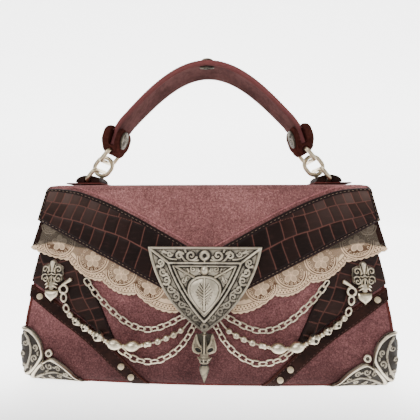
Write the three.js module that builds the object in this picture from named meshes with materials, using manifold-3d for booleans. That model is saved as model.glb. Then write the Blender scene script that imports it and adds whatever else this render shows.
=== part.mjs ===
import * as THREE from "three";
import { mergeVertices } from "three/addons/utils/BufferGeometryUtils.js";
import Module from "manifold-3d";

const wasm = await Module();
wasm.setup();

// Millimetres. The origin is under the middle of the base, the front faces -Y and +Z is up.
const seat = 0.4;
const sides = [
  { name: "left", sign: -1 },
  { name: "right", sign: 1 },
];

const body = { wall: 2.2, floor: 2.4, bow: 6, corner: 6, rim: 141.4 };
const bodySections = [
  { z: 0, halfWidth: 126, halfDepth: 29.5 },
  { z: 2.5, halfWidth: 133, halfDepth: 34 },
  { z: 8, halfWidth: 137, halfDepth: 36.6 },
  { z: 18, halfWidth: 138.5, halfDepth: 37.5 },
  { z: 40, halfWidth: 138, halfDepth: 36.7 },
  { z: 68, halfWidth: 134, halfDepth: 34.5 },
  { z: 105, halfWidth: 127.5, halfDepth: 30.5 },
  { z: 141.4, halfWidth: 121, halfDepth: 25.9 },
];

const flap = {
  thickness: 2,
  lift: 3.6,
  tip: 58,
  cornerZ: 122,
  halfWidth: 129.2,
  foldZ: 141,
  foldWidth: 124.8,
  topWidth: 122.4,
  topZ: 148.6,
  crown: 1.6,
  foldDepth: 7,
  backZ: 106,
  backLift: 0.5,
  backWidth: 123,
};

const underlay = { lift: seat, thickness: 1.4, topZ: 138, topWidth: 124.9 };
const underlayEdge = [
  { x: 0, z: 88 },
  { x: 60, z: 90.5 },
  { x: 94, z: 98 },
  { x: 124, z: 103 },
  { x: 134.2, z: 102 },
];

const band = { lift: 6.1, thickness: 1.6, margin: 0.8, lowWidth: 128, highWidth: 122.6 };
const bandUpper = [
  { x: 0, z: 96.4 },
  { x: 65, z: 131.3 },
  { x: 84, z: 139.3 },
  { x: 99, z: 144 },
  { x: 113, z: 145.8 },
];

const lace = { lift: 2.2, thickness: 1, tuck: 11, scallop: 4.6, taper: 0.92 };
const laceCusps = [
  { x: 19, z: 57 },
  { x: 50, z: 69.5 },
  { x: 76, z: 78.5 },
  { x: 102.5, z: 92.5 },
  { x: 134, z: 101 },
];

const panel = { lift: seat, thickness: 1.4 };
const panelTop = { inner: { x: 95, z: 96.4 }, outer: { x: 126.8, z: 101 } };
const panelLow = [
  { x: 61.5, z: 25.2 },
  { x: 76, z: 38.4 },
  { x: 91, z: 49.8 },
  { x: 111, z: 62.8 },
  { x: 132, z: 75.4 },
];

const strap = { lift: seat, thickness: 1.6 };
const strapRows = [
  { high: { x: 132.4, z: 73 }, low: { x: 133.2, z: 64 } },
  { high: { x: 103.2, z: 56 }, low: { x: 109.7, z: 47.7 } },
  { high: { x: 86.7, z: 45.1 }, low: { x: 93.2, z: 36.8 } },
  { high: { x: 72, z: 33.4 }, low: { x: 78.5, z: 25.1 } },
  { high: { x: 56.1, z: 18 }, low: { x: 70.9, z: 18 } },
  { high: { x: 46.5, z: 8 }, low: { x: 60.4, z: 8 } },
  { high: { x: 41.2, z: 2.5 }, low: { x: 54.9, z: 2.5 } },
  { high: { x: 40.5, z: 1.8 }, low: { x: 54.2, z: 1.8 } },
];

const rivet = { radius: 2.3, height: 1.7, lift: 2.3 };
const rivetSpots = [
  { x: 124.6, z: 64.6 },
  { x: 60.6, z: 16.4 },
  { x: 53.6, z: 8.6 },
];

const shield = {
  halfWidth: 40.6,
  height: 58.9,
  bend: { x: 33, z: -38 },
  middle: -27,
  topZ: 103.4,
  backY: -39.2,
  lean: THREE.MathUtils.degToRad(5.46),
};
const shieldSteps = [
  { scale: 1, height: 0 },
  { scale: 1, height: 2.4 },
  { scale: 0.965, height: 3.4 },
  { scale: 0.93, height: 2.6 },
  { scale: 0.68, height: 3.2 },
  { scale: 0.645, height: 4.4 },
  { scale: 0.6, height: 4.4 },
  { scale: 0.575, height: 3.2 },
];
const boss = { z: -33.2, halfWidth: 10.9, halfHeight: 12.4, top: 6.4, widest: 0.77 };
const ridge = { corner: { x: 39, z: -1 }, tipZ: -57, bossEnd: -45.8, halfWidth: 1, low: 2.4, high: 4.3 };
const scrolls = [
  { x: 9.5, z: -6.2, size: 3.4, start: 200, turn: 1 },
  { x: 22, z: -6, size: 3.2, start: 160, turn: -1 },
  { x: 27.6, z: -22, size: 3.2, start: 60, turn: 1 },
  { x: 18.6, z: -39.4, size: 3.2, start: 50, turn: 1 },
];

const pivot = { z: -54.1, y: 1.2 };
const peg = { radius: 1.25, head: 2.2, gripStart: 2.4, end: 3.1 };
const lug = { x: 10.6, z: -50.6, radius: 1.6, end: 3.2 };
const pendant = { eye: 3.2, hole: 1.65, eyeThickness: 1.6, middleY: -0.95, headThickness: 3.6, flatten: 0.55 };
const pendantHead = [
  { x: 1.4, z: -6.2 },
  { x: 1.6, z: -10 },
  { x: 2.2, z: -14.6 },
  { x: 3.7, z: -13 },
  { x: 4.8, z: -10 },
  { x: 4.9, z: -7.6 },
  { x: 5.6, z: -5.5 },
  { x: 6.9, z: -8.6 },
  { x: 7.2, z: -11.6 },
  { x: 8.2, z: -14.2 },
  { x: 7.6, z: -17 },
  { x: 5.4, z: -18.4 },
  { x: 2.9, z: -19.4 },
  { x: 2.5, z: -21 },
];
const pendantTurned = [
  { radius: 2.3, z: -20 },
  { radius: 4.6, z: -22.1 },
  { radius: 4.2, z: -24.2 },
  { radius: 2.3, z: -26.1 },
  { radius: 3.3, z: -28.8 },
  { radius: 2.9, z: -31.4 },
  { radius: 0.5, z: -38.6 },
];

const chain = { radius: 2.1, sides: 8, spacing: 9.4 };
const upperPath = [
  { x: 86.6, z: 76.6, lift: 4.4 },
  { x: 79.4, z: 67.4, lift: 3.5 },
  { x: 67.6, z: 55.8, lift: 2.6 },
  { x: 57.2, z: 48.3, lift: 2.6 },
  { x: 48.4, z: 44.7, lift: 2.6 },
  { x: 39, z: 43.6, lift: 2.6 },
  { x: 27.2, z: 47.2, lift: 2.6 },
  { x: 14.4, z: 54, lift: 2.6 },
];
const lowerPath = [
  { x: 58.8, z: 29.2, lift: 5.4 },
  { x: 54.2, z: 25.2, lift: 4.2 },
  { x: 47.4, z: 22, lift: 3.1 },
  { x: 40, z: 20.9, lift: 2.6 },
  { x: 32.8, z: 22, lift: 2.6 },
  { x: 22.6, z: 27.6, lift: 2.6 },
  { x: 14.2, z: 36, lift: 2.6 },
  { x: 7.4, z: 47.4, lift: 2.6 },
];

const strand = { core: 0.8, beadSides: 10 };
const strandPath = [
  { x: 105, z: 68.2, lift: 4.2 },
  { x: 103.8, z: 62.6, lift: 4.4 },
  { x: 100.6, z: 55.3, lift: 4.6 },
  { x: 93.3, z: 48.2, lift: 4.8 },
  { x: 87.5, z: 45, lift: 5.2 },
  { x: 77, z: 39.3, lift: 6 },
  { x: 65.7, z: 34.4, lift: 6.5 },
  { x: 52.9, z: 32.8, lift: 5.6 },
  { x: 39.3, z: 34.1, lift: 3.6 },
  { x: 27, z: 38.1, lift: 2.8 },
  { x: 16.8, z: 43.7, lift: 2.8 },
  { x: 10.6, z: 50.4, lift: 2.6 },
];
const beads = [
  { x: 103.8, radius: 1.8, length: 5, belly: 0.7, end: 1 },
  { x: 99.6, radius: 2, length: 5, belly: 0.5, end: 1 },
  { x: 93.3, radius: 2.3, length: 7, belly: 0.6, end: 1 },
  { x: 86.4, radius: 2.8, length: 5.4, belly: 0.5, end: 1 },
  { x: 76.4, radius: 3.6, length: 8, belly: 0.4, end: 1.3 },
  { x: 64.4, radius: 3.7, length: 10.6, belly: 0.34, end: 1.5 },
  { x: 51.4, radius: 3.7, length: 10.6, belly: 0.34, end: 1.5 },
  { x: 41, radius: 2.4, length: 4, belly: 0.5, end: 1 },
  { x: 33.6, radius: 2.4, length: 4, belly: 0.5, end: 1 },
  { x: 27.6, radius: 2.3, length: 3.8, belly: 0.5, end: 1 },
  { x: 22.2, radius: 2.2, length: 3.6, belly: 0.5, end: 1 },
  { x: 17.2, radius: 2.1, length: 3.4, belly: 0.5, end: 1 },
];
const strandRing = { x: 105, z: 71, radius: 2.9, wire: 0.85, lift: 4.2 };

const stud = { x: 114.8, z: 82, radius: 8.2, lift: 2.3 };
const studSteps = [
  { scale: 1, height: 0 },
  { scale: 1, height: 1.1 },
  { scale: 0.8, height: 2.8 },
  { scale: 0.42, height: 2.3 },
  { scale: 0.3, height: 4.2 },
];
const collar = { drop: 8.8, radius: 2.7, height: 5.4 };
const heart = { z: 65.6, halfWidth: 5.3, halfHeight: 4.6, lift: 2.2 };

const guard = { lift: 0.95, thickness: 1.4, levels: [0.5, 2.5, 8, 18] };
const guardTop = [
  { along: -35.5, z: 3.8 },
  { along: -31.5, z: 9.4 },
  { along: -25, z: 15.2 },
  { along: -17, z: 19.2 },
  { along: -12.4, z: 17.4 },
  { along: -10.8, z: 22.6 },
  { along: -9.8, z: 27.8 },
  { along: -5.6, z: 35 },
  { along: 0, z: 41 },
  { along: 3.14, z: 41.6 },
  { along: 6.28, z: 41.4 },
  { along: 9.42, z: 40 },
  { along: 18, z: 31 },
  { along: 23, z: 19 },
  { along: 25.5, z: 8 },
];

const handle = {
  width: 28,
  thickness: 4.2,
  apexZ: 251.6,
  fall: 0.01057,
  bendX: 70,
  cup: 5,
  stations: 12,
};
const tab = {
  top: { x: 73, z: 197 },
  tilt: THREE.MathUtils.degToRad(72),
  slot: 2.5,
  mouth: 3.6,
  slotEnd: 15,
  strapEnd: 14.4,
  tunnel: 2.05,
  tunnelAt: 19.4,
  outer: 1.3,
  inner: 0.86,
};
const tabProfile = [
  { s: -1, n: 4.6 },
  { s: 0.6, n: 5.8 },
  { s: 3.4, n: 6.35 },
  { s: 14.6, n: 6.35 },
  { s: 19.6, n: 5 },
  { s: 22.4, n: 2.6 },
];
const tabOutline = [
  { s: -1.2, halfWidth: 8.4 },
  { s: 1, halfWidth: 12.4 },
  { s: 4.4, halfWidth: 15 },
  { s: 12, halfWidth: 15 },
  { s: 17, halfWidth: 11.4 },
  { s: 23.2, halfWidth: 10.8 },
];
const coin = { radius: 7.4, rim: 1, dome: 2, sides: 12, at: 8, y: -3.4 };
const apexCoin = { radius: 5.5, rim: 0.9, dome: 1.6 };
const underCoin = { y: -5.5, along: 1.13, across: 0.53, lowered: 1.2, slope: 0.16 };

const link = { wire: 3.2, sides: 6, play: 0.3 };
const links = [
  { name: "1", length: 11, width: 24.4, corner: 2.9, flat: false },
  { name: "2", length: 16.09, width: 13.2, corner: 6.4, flat: true },
  { name: "3", length: 11, width: 26.8, corner: 2.9, flat: false },
];
const anchor = {
  x: 98.2,
  z: 150.65,
  patchThickness: 1.2,
  patchOut: 17,
  patchIn: 12,
  patchWidth: 22,
  loopWidth: 20,
  loopHalf: 10,
  loopHeight: 6,
  tunnelHalf: 2.4,
  tunnelHeight: 3.9,
  wireZ: 154.1,
};

function finish(color, roughness, metalness) {
  return new THREE.MeshStandardMaterial({ color, roughness, metalness });
}
const suede = finish(0x96595c, 0.85, 0);
const darkLeather = finish(0x3a2422, 0.6, 0);
const crocLeather = finish(0x34211f, 0.45, 0);
const redLeather = finish(0x5a2f2d, 0.6, 0);
const laceCloth = finish(0xdcc3a8, 0.9, 0);
const silver = finish(0xb4ad9c, 0.38, 1);
const boneCap = finish(0xc9b79c, 0.4, 0.3);

const bag = new THREE.Group();
bag.name = "lace_top_handle_bag";

function vec(x, y, z) {
  return new THREE.Vector3(x, y, z);
}

function add(name, geometry, material, parent = bag) {
  const mesh = new THREE.Mesh(geometry, material);
  mesh.name = name;
  parent.add(mesh);
  return mesh;
}

function lookUp(rows, key, at, value) {
  const after = rows.findIndex((row) => row[key] >= at);
  if (after === 0) return rows[0][value];
  if (after < 0) return rows[rows.length - 1][value];
  const low = rows[after - 1];
  const high = rows[after];
  return THREE.MathUtils.mapLinear(at, low[key], high[key], low[value], high[value]);
}

function closedGeometry(points, faces) {
  let volume = 0;
  for (const [a, b, c] of faces) {
    volume += points[a].dot(points[b].clone().cross(points[c]));
  }
  const outward = volume < 0 ? faces.map(([a, b, c]) => [a, c, b]) : faces;
  const geometry = new THREE.BufferGeometry().setFromPoints(points);
  geometry.setIndex(outward.flat());
  return geometry;
}

function middleOf(points) {
  const sum = points.reduce((total, point) => total.add(point), vec(0, 0, 0));
  return sum.divideScalar(points.length);
}

// A skin over rings of equal count, closed by a fan at each end or joined end to end.
function loft(rings, { joined = false, startPoint = null, endPoint = null } = {}) {
  const points = rings.flat();
  const count = rings[0].length;
  const faces = [];
  const bands = joined ? rings.length : rings.length - 1;
  for (let i = 0; i < bands; i += 1) {
    const next = ((i + 1) % rings.length) * count;
    for (let j = 0; j < count; j += 1) {
      const k = (j + 1) % count;
      faces.push([i * count + j, i * count + k, next + k]);
      faces.push([i * count + j, next + k, next + j]);
    }
  }
  if (!joined) {
    const last = (rings.length - 1) * count;
    points.push(startPoint || middleOf(rings[0]));
    points.push(endPoint || middleOf(rings[rings.length - 1]));
    for (let j = 0; j < count; j += 1) {
      const k = (j + 1) % count;
      faces.push([points.length - 2, k, j]);
      faces.push([points.length - 1, last + j, last + k]);
    }
  }
  return closedGeometry(points, faces);
}

// A thin sheet between two grids of points.
function sheet(outer, inner) {
  const rows = outer.length;
  const cols = outer[0].length;
  const shift = rows * cols;
  const points = [...outer.flat(), ...inner.flat()];
  const faces = [];
  const wall = (a, b) => faces.push([b, a, a + shift], [b, a + shift, b + shift]);
  for (let r = 0; r + 1 < rows; r += 1) {
    for (let c = 0; c + 1 < cols; c += 1) {
      const a = r * cols + c;
      const low = a + cols;
      faces.push([a, a + 1, low + 1], [a, low + 1, low]);
      faces.push([a + shift, low + 1 + shift, a + 1 + shift]);
      faces.push([a + shift, low + shift, low + 1 + shift]);
    }
  }
  for (let c = 0; c + 1 < cols; c += 1) {
    wall(c, c + 1);
    wall((rows - 1) * cols + c + 1, (rows - 1) * cols + c);
  }
  for (let r = 0; r + 1 < rows; r += 1) {
    wall((r + 1) * cols, r * cols);
    wall(r * cols + cols - 1, (r + 1) * cols + cols - 1);
  }
  return closedGeometry(points, faces);
}

function steps(count) {
  return Array.from({ length: count + 1 }, (unused, i) => i / count);
}

function solidOf(geometry) {
  const bare = geometry.clone();
  bare.deleteAttribute("normal");
  bare.deleteAttribute("uv");
  const merged = mergeVertices(bare, 1e-4);
  const mesh = new wasm.Mesh({
    numProp: 3,
    vertProperties: merged.attributes.position.array,
    triVerts: new Uint32Array(merged.index.array),
  });
  return new wasm.Manifold(mesh);
}

function geometryOf(solid) {
  const mesh = solid.getMesh();
  const geometry = new THREE.BufferGeometry();
  geometry.setAttribute("position", new THREE.BufferAttribute(new Float32Array(mesh.vertProperties), 3));
  geometry.setIndex(new THREE.BufferAttribute(new Uint32Array(mesh.triVerts), 1));
  return geometry;
}

function fuse(geometries) {
  const solids = geometries.map(solidOf);
  return geometryOf(solids.reduce((whole, next) => whole.add(next)));
}

function polygon(radius, count) {
  const corners = steps(count).slice(0, count);
  return corners.map((t) => {
    const turn = 2 * Math.PI * t;
    return new THREE.Vector2(radius * Math.cos(turn), radius * Math.sin(turn));
  });
}

function tube(points, radius, count, stepCount) {
  const extrudePath = new THREE.CatmullRomCurve3(points);
  const section = new THREE.Shape(polygon(radius, count));
  return new THREE.ExtrudeGeometry(section, { steps: stepCount, extrudePath, bevelEnabled: false });
}

// A turned shape about an axis: rows give the radius and the distance along the axis.
function turned(rows, count, toPoint) {
  const rings = rows.map((row) => polygon(row.radius, count).map((p) => toPoint(p.x, p.y, row.at)));
  return loft(rings);
}

// The leather body.
function sectionAt(z) {
  return {
    halfWidth: lookUp(bodySections, "z", z, "halfWidth"),
    halfDepth: lookUp(bodySections, "z", z, "halfDepth"),
  };
}

function frontY(x, z) {
  const { halfWidth, halfDepth } = sectionAt(z);
  return body.bow * Math.min(1, (x / halfWidth) ** 2) - halfDepth;
}

function bodyRing(z, inset) {
  const reach = sectionAt(z).halfWidth - body.corner;
  const front = steps(8).map((t) => {
    const x = reach * (2 * t - 1);
    return vec(x, frontY(x, z) + inset, z);
  });
  const radius = body.corner - inset;
  const sideY = frontY(reach, z) + body.corner;
  const bend = [30, 60, 90].map((degrees) => {
    const turn = THREE.MathUtils.degToRad(degrees);
    return vec(reach + radius * Math.sin(turn), sideY - radius * Math.cos(turn), z);
  });
  const right = [...front.slice(4), ...bend];
  const flip = (list, sx, sy) => list.map((p) => vec(p.x * sx, p.y * sy, p.z));
  const backRight = flip(right, 1, -1).reverse();
  const backLeft = flip(right, -1, -1).slice(1);
  const frontLeft = flip(right, -1, 1).reverse().slice(0, -1);
  return [...right, ...backRight, ...backLeft, ...frontLeft];
}

const outerRings = bodySections.map((row) => bodyRing(row.z, 0));
const innerRings = [body.rim, 68, 14, body.floor].map((z) => bodyRing(z, body.wall));
add("body_shell", loft([...outerRings, ...innerRings]), suede);

// Pieces that lie on the front.
function layer(place, cols, rows, lift, thickness, surface = frontY) {
  const grid = (out) =>
    rows.map((w) =>
      cols.map((u) => {
        const { x, z } = place(u, w);
        return vec(x, surface(x, z) - out, z);
      }),
    );
  return sheet(grid(lift + thickness), grid(lift));
}

function between(a, b, t) {
  return { x: THREE.MathUtils.lerp(a.x, b.x, t), z: THREE.MathUtils.lerp(a.z, b.z, t) };
}

function flapEdge(x) {
  return flap.tip + ((flap.cornerZ - flap.tip) * Math.abs(x)) / flap.halfWidth;
}

// The flap's side view: a front row, a row on the bend, a row on the top or a row on the back.
const flapRows = [
  ...steps(4).map((t) => ({ part: "front", t })),
  ...[30, 62, 90].map((degrees) => ({ part: "frontBend", turn: THREE.MathUtils.degToRad(degrees) })),
  { part: "top", t: 0.5 },
  ...[90, 62, 30, 0].map((degrees) => ({ part: "backBend", turn: THREE.MathUtils.degToRad(degrees) })),
  { part: "back", t: 1 },
];

function flapPoint(s, row, inset) {
  const bend = flap.foldDepth - inset;
  const rise = flap.topZ - flap.foldZ - inset;
  const frontLift = flap.lift + flap.thickness - inset;
  const backLift = flap.backLift + flap.thickness - inset;
  if (row.part === "front") {
    const low = flapEdge(s * flap.halfWidth);
    const z = THREE.MathUtils.lerp(low, flap.foldZ, row.t);
    const x = s * THREE.MathUtils.lerp(flap.halfWidth, flap.foldWidth, row.t);
    return vec(x, frontY(x, z) - frontLift, z);
  }
  const wide = THREE.MathUtils.lerp(flap.foldWidth, flap.topWidth, 1 - Math.cos(row.turn || 0));
  const x = s * (row.part === "top" ? flap.topWidth : row.part === "back" ? flap.backWidth : wide);
  const foldFront = frontY(x, flap.foldZ) - frontLift + bend;
  const foldBack = backLift - frontY(x, flap.foldZ) - bend;
  if (row.part === "frontBend") {
    return vec(x, foldFront - bend * Math.cos(row.turn), flap.foldZ + rise * Math.sin(row.turn));
  }
  if (row.part === "top") return vec(x, 0, flap.topZ - inset + flap.crown);
  if (row.part === "backBend") {
    return vec(x, foldBack + bend * Math.cos(row.turn), flap.foldZ + rise * Math.sin(row.turn));
  }
  return vec(x, backLift - frontY(x, flap.backZ), flap.backZ);
}

const flapCols = steps(10).map((t) => 2 * t - 1);
const flapGrid = (inset) => flapRows.map((row) => flapCols.map((s) => flapPoint(s, row, inset)));
add("flap", sheet(flapGrid(0), flapGrid(flap.thickness)), suede);

function flapFrontY(x, z) {
  const up = Math.max(0, z - flap.foldZ) / (flap.topZ - flap.foldZ);
  const level = frontY(x, Math.min(z, flap.foldZ));
  return level + flap.foldDepth * (1 - Math.sqrt(1 - up * up));
}

const underlayCols = [-1, -0.94, -0.72, -0.46, -0.2, 0, 0.2, 0.46, 0.72, 0.94, 1];
const underlayPlace = (s, w) => {
  const reach = underlayEdge[underlayEdge.length - 1].x;
  const low = lookUp(underlayEdge, "x", Math.abs(s) * reach, "z");
  const z = THREE.MathUtils.lerp(low, underlay.topZ, w);
  return { x: s * THREE.MathUtils.lerp(reach, underlay.topWidth, w), z };
};
const underlayShape = layer(underlayPlace, underlayCols, steps(3), underlay.lift, underlay.thickness);
add("flap_underlay", underlayShape, darkLeather);

for (const { name, sign } of sides) {
  const bandCols = [0.004, 0.1, 0.2, 0.3, 0.4, 0.5, 0.62, 0.74, 0.86, 1];
  const bandRows = [0, 0.4, 0.66, 0.8, 0.9, 1];
  const bandPlace = (u, w) => {
    const lowX = u * band.lowWidth;
    const highX = u * band.highWidth;
    const low = { x: lowX, z: flapEdge(lowX) + band.margin };
    const high = { x: highX, z: lookUp(bandUpper, "x", highX, "z") };
    const spot = between(low, high, w);
    return { x: sign * spot.x, z: spot.z };
  };
  const bandShape = layer(bandPlace, bandCols, bandRows, band.lift, band.thickness, flapFrontY);
  add("croc_band_" + name, bandShape, crocLeather);

  const laceCols = [];
  for (let i = 0; i + 1 < laceCusps.length; i += 1) {
    const first = laceCusps[i];
    const second = laceCusps[i + 1];
    for (const t of steps(6).slice(i ? 1 : 0)) {
      const cusp = between(first, second, t);
      laceCols.push({ x: cusp.x, z: cusp.z - lace.scallop * Math.sin(Math.PI * t) ** 0.7 });
    }
  }
  const lacePlace = (edge, w) => {
    const highX = edge.x * lace.taper;
    const spot = between(edge, { x: highX, z: flapEdge(highX) + lace.tuck }, w);
    return { x: sign * spot.x, z: spot.z };
  };
  const laceShape = layer(lacePlace, laceCols, steps(2), lace.lift, lace.thickness);
  add("lace_" + name, laceShape, laceCloth);

  const panelCols = panelLow.map((low, i) => {
    return { low, high: between(panelTop.inner, panelTop.outer, i / (panelLow.length - 1)) };
  });
  const rowPlace = ({ high, low }, w) => {
    const spot = between(high, low, w);
    return { x: sign * spot.x, z: spot.z };
  };
  const panelShape = layer(rowPlace, panelCols, steps(4), panel.lift, panel.thickness);
  add("croc_panel_" + name, panelShape, crocLeather);

  const strapShape = layer(rowPlace, strapRows, steps(2), strap.lift, strap.thickness);
  add("corner_strap_" + name, strapShape, darkLeather);

  rivetSpots.forEach((spot, i) => {
    const rows = [
      { radius: rivet.radius, at: 0 },
      { radius: rivet.radius, at: rivet.height * 0.45 },
      { radius: rivet.radius * 0.55, at: rivet.height },
    ];
    const x = sign * spot.x;
    const y = frontY(x, spot.z) - rivet.lift;
    const place = (a, b, at) => vec(x + a, y - at, spot.z + b);
    add("rivet_" + name + "_" + (i + 1), turned(rows, 10, place), boneCap);
  });
}

// The clasp plate, its hidden peg and lugs, and the drop that hangs from the peg.
function shieldOutline() {
  const top = [-1, -0.5, 0, 0.5].map((t) => ({ x: t * shield.halfWidth, z: 0 }));
  const bow = (t) => ({
    x: (1 - t) ** 2 * shield.halfWidth + 2 * t * (1 - t) * shield.bend.x,
    z: 2 * t * (1 - t) * shield.bend.z - t * t * shield.height,
  });
  const down = steps(8).slice(0, 8).map(bow);
  const up = steps(8).reverse().slice(1, 8).map(bow);
  const left = up.map((p) => ({ x: -p.x, z: p.z }));
  return [...top, ...down, { x: 0, z: -shield.height }, ...left];
}

function shieldRing({ scale, height }) {
  return shieldOutline().map((p) =>
    vec(p.x * scale, -height, shield.middle + (p.z - shield.middle) * scale),
  );
}

function bossRing(scale, height) {
  return steps(14)
    .slice(0, 14)
    .map((t) => {
      const turn = 2 * Math.PI * t;
      const x = (boss.halfWidth / boss.widest) * Math.sin(turn) * Math.abs(Math.sin(turn / 2));
      return vec(x * scale, -height, boss.z - boss.halfHeight * Math.cos(turn) * scale);
    });
}

function scrollTube({ x, z, size, start, turn }, sign) {
  const points = steps(8).map((t) => {
    const angle = THREE.MathUtils.degToRad(start + turn * 420 * t);
    const reach = size * (1 - 0.72 * t);
    return vec(sign * (x + reach * Math.cos(angle)), -3, z + reach * Math.sin(angle));
  });
  return tube(points, 0.8, 4, 8);
}

function bar(from, to) {
  const along = to.clone().sub(from).normalize();
  const across = vec(-along.z, 0, along.x).multiplyScalar(ridge.halfWidth);
  const ring = (at) => [
    vec(at.x - across.x, -ridge.low, at.z - across.z),
    vec(at.x, -ridge.high, at.z),
    vec(at.x + across.x, -ridge.low, at.z + across.z),
  ];
  return loft([ring(from), ring(to)]);
}

function torus(radius, wire, count, wireSides, toPoint) {
  const rings = polygon(1, count).map((p) =>
    polygon(wire, wireSides).map((q) => {
      const reach = radius + q.x;
      return toPoint(p.x * reach, p.y * reach, q.y);
    }),
  );
  return loft(rings, { joined: true });
}

const clasp = new THREE.Group();
clasp.position.set(0, shield.backY, shield.topZ);
clasp.rotation.x = -shield.lean;
bag.add(clasp);

const innerCorner = { x: shield.halfWidth * 0.62, z: shield.middle * 0.38 };
const shieldPieces = [
  loft(shieldSteps.map(shieldRing)),
  loft([bossRing(1, 2.4), bossRing(1, 3.9), bossRing(0.78, 5.4)], { endPoint: vec(0, -boss.top, boss.z) }),
  torus(2.4, 0.8, 10, 5, (a, b, c) => vec(a, c - 3.1, b - 6.4)),
  bar(vec(ridge.corner.x, 0, ridge.corner.z), vec(innerCorner.x, 0, innerCorner.z)),
  bar(vec(-ridge.corner.x, 0, ridge.corner.z), vec(-innerCorner.x, 0, innerCorner.z)),
  bar(vec(0, 0, ridge.tipZ), vec(0, 0, ridge.bossEnd)),
  turned(
    [
      { radius: peg.radius, at: -0.8 },
      { radius: peg.radius, at: peg.gripStart },
      { radius: peg.head, at: peg.gripStart + 0.05 },
      { radius: peg.head, at: peg.end },
    ],
    10,
    (a, b, at) => vec(a, at, pivot.z + b),
  ),
];
for (const { sign } of sides) {
  scrolls.forEach((row) => shieldPieces.push(scrollTube(row, sign)));
  const lugRows = [
    { radius: lug.radius, at: -0.8 },
    { radius: lug.radius, at: lug.end },
  ];
  shieldPieces.push(turned(lugRows, 8, (a, b, at) => vec(sign * lug.x + a, at, lug.z + b)));
}
add("shield", fuse(shieldPieces), silver, clasp);

const drop = new THREE.Group();
drop.position.set(0, pivot.y, pivot.z);
clasp.add(drop);

const headHalf = pendantHead.map((p) => new THREE.Vector2(p.x, p.z));
const headMirror = [...headHalf].reverse().map((p) => new THREE.Vector2(-p.x, p.y));
const headShape = new THREE.Shape([...headHalf, ...headMirror]);
const head = new THREE.ExtrudeGeometry(headShape, { depth: pendant.headThickness, bevelEnabled: false });
head.rotateX(Math.PI / 2);
head.translate(0, pendant.middleY + pendant.headThickness / 2, 0);

const eyeShape = new THREE.Shape(polygon(pendant.eye, 14));
eyeShape.holes.push(new THREE.Path(polygon(pendant.hole, 12)));
const eye = new THREE.ExtrudeGeometry(eyeShape, { depth: pendant.eyeThickness, bevelEnabled: false });
eye.rotateX(Math.PI / 2);
eye.translate(0, pendant.eyeThickness / 2, 0);

const neck = new THREE.BoxGeometry(2.6, pendant.eyeThickness, 5.4);
neck.translate(0, 0, -5);

const turnedRows = pendantTurned.map((row) => ({ radius: row.radius, at: row.z }));
const tail = turned(turnedRows, 12, (a, b, at) => vec(a, pendant.middleY + b * pendant.flatten, at));
add("pendant", fuse([head, eye, neck, tail]), silver, drop);

// Chains, strands of beads, studs and corner guards.
function pathPoints(rows, sign) {
  return rows.map(({ x, z, lift }) => vec(sign * x, frontY(x, z) - lift, z));
}

// A strand is one turned skin along its path, which swells at each bead and is thin between them.
function strandShape(curve, sign) {
  const spots = steps(600).map((t) => ({ t, x: sign * curve.getPointAt(t).x }));
  const total = curve.getLength();
  const rows = [{ t: 0, radius: strand.core }];
  beads.forEach((bead) => {
    const nearest = spots.reduce((a, b) => (Math.abs(b.x - bead.x) < Math.abs(a.x - bead.x) ? b : a));
    const half = bead.length / 2 / total;
    rows.push({ t: nearest.t - half, radius: bead.end });
    rows.push({ t: nearest.t - half * bead.belly, radius: bead.radius });
    rows.push({ t: nearest.t + half * bead.belly, radius: bead.radius });
    rows.push({ t: nearest.t + half, radius: bead.end });
  });
  rows.push({ t: 1, radius: strand.core });
  const rings = rows.map(({ t, radius }) => {
    const centre = curve.getPointAt(t);
    const along = curve.getTangentAt(t);
    const across = vec(0, -1, 0).cross(along).normalize();
    const out = along.clone().cross(across);
    return polygon(radius, strand.beadSides).map((p) =>
      centre.clone().addScaledVector(across, p.x).addScaledVector(out, p.y),
    );
  });
  return loft(rings);
}

function studRing(sign, { scale, height }) {
  return steps(20)
    .slice(0, 20)
    .map((t) => {
      const turn = 2 * Math.PI * t;
      const reach = stud.radius * scale * (1.02 - 0.24 * Math.cos(4 * turn) * scale);
      const x = sign * stud.x + reach * Math.sin(turn);
      const z = stud.z + reach * Math.cos(turn);
      return vec(x, frontY(x, z) - stud.lift - height, z);
    });
}

function heartRing(sign, scale, height) {
  return steps(16)
    .slice(0, 16)
    .map((t) => {
      const turn = 2 * Math.PI * (t + 1 / 32);
      const across = Math.sin(turn) ** 3;
      const rise = (13 * Math.cos(turn) - 5 * Math.cos(2 * turn) - 2 * Math.cos(3 * turn) - Math.cos(4 * turn)) / 15;
      const x = sign * stud.x + heart.halfWidth * scale * across;
      const z = heart.z + heart.halfHeight * scale * rise;
      return vec(x, frontY(x, z) - heart.lift - height, z);
    });
}

function guardPoint(sign, along, z, out) {
  const { halfWidth } = sectionAt(z);
  const reach = halfWidth - body.corner;
  const arc = (body.corner * Math.PI) / 2;
  const turn = THREE.MathUtils.clamp(along, 0, arc) / body.corner;
  const sideY = frontY(reach, z) + body.corner;
  if (along < 0) {
    const x = reach + along;
    return vec(sign * x, frontY(x, z) - out, z);
  }
  const radius = body.corner + out;
  const y = sideY - radius * Math.cos(turn) + Math.max(0, along - arc);
  return vec(sign * (reach + radius * Math.sin(turn)), y, z);
}

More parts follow.
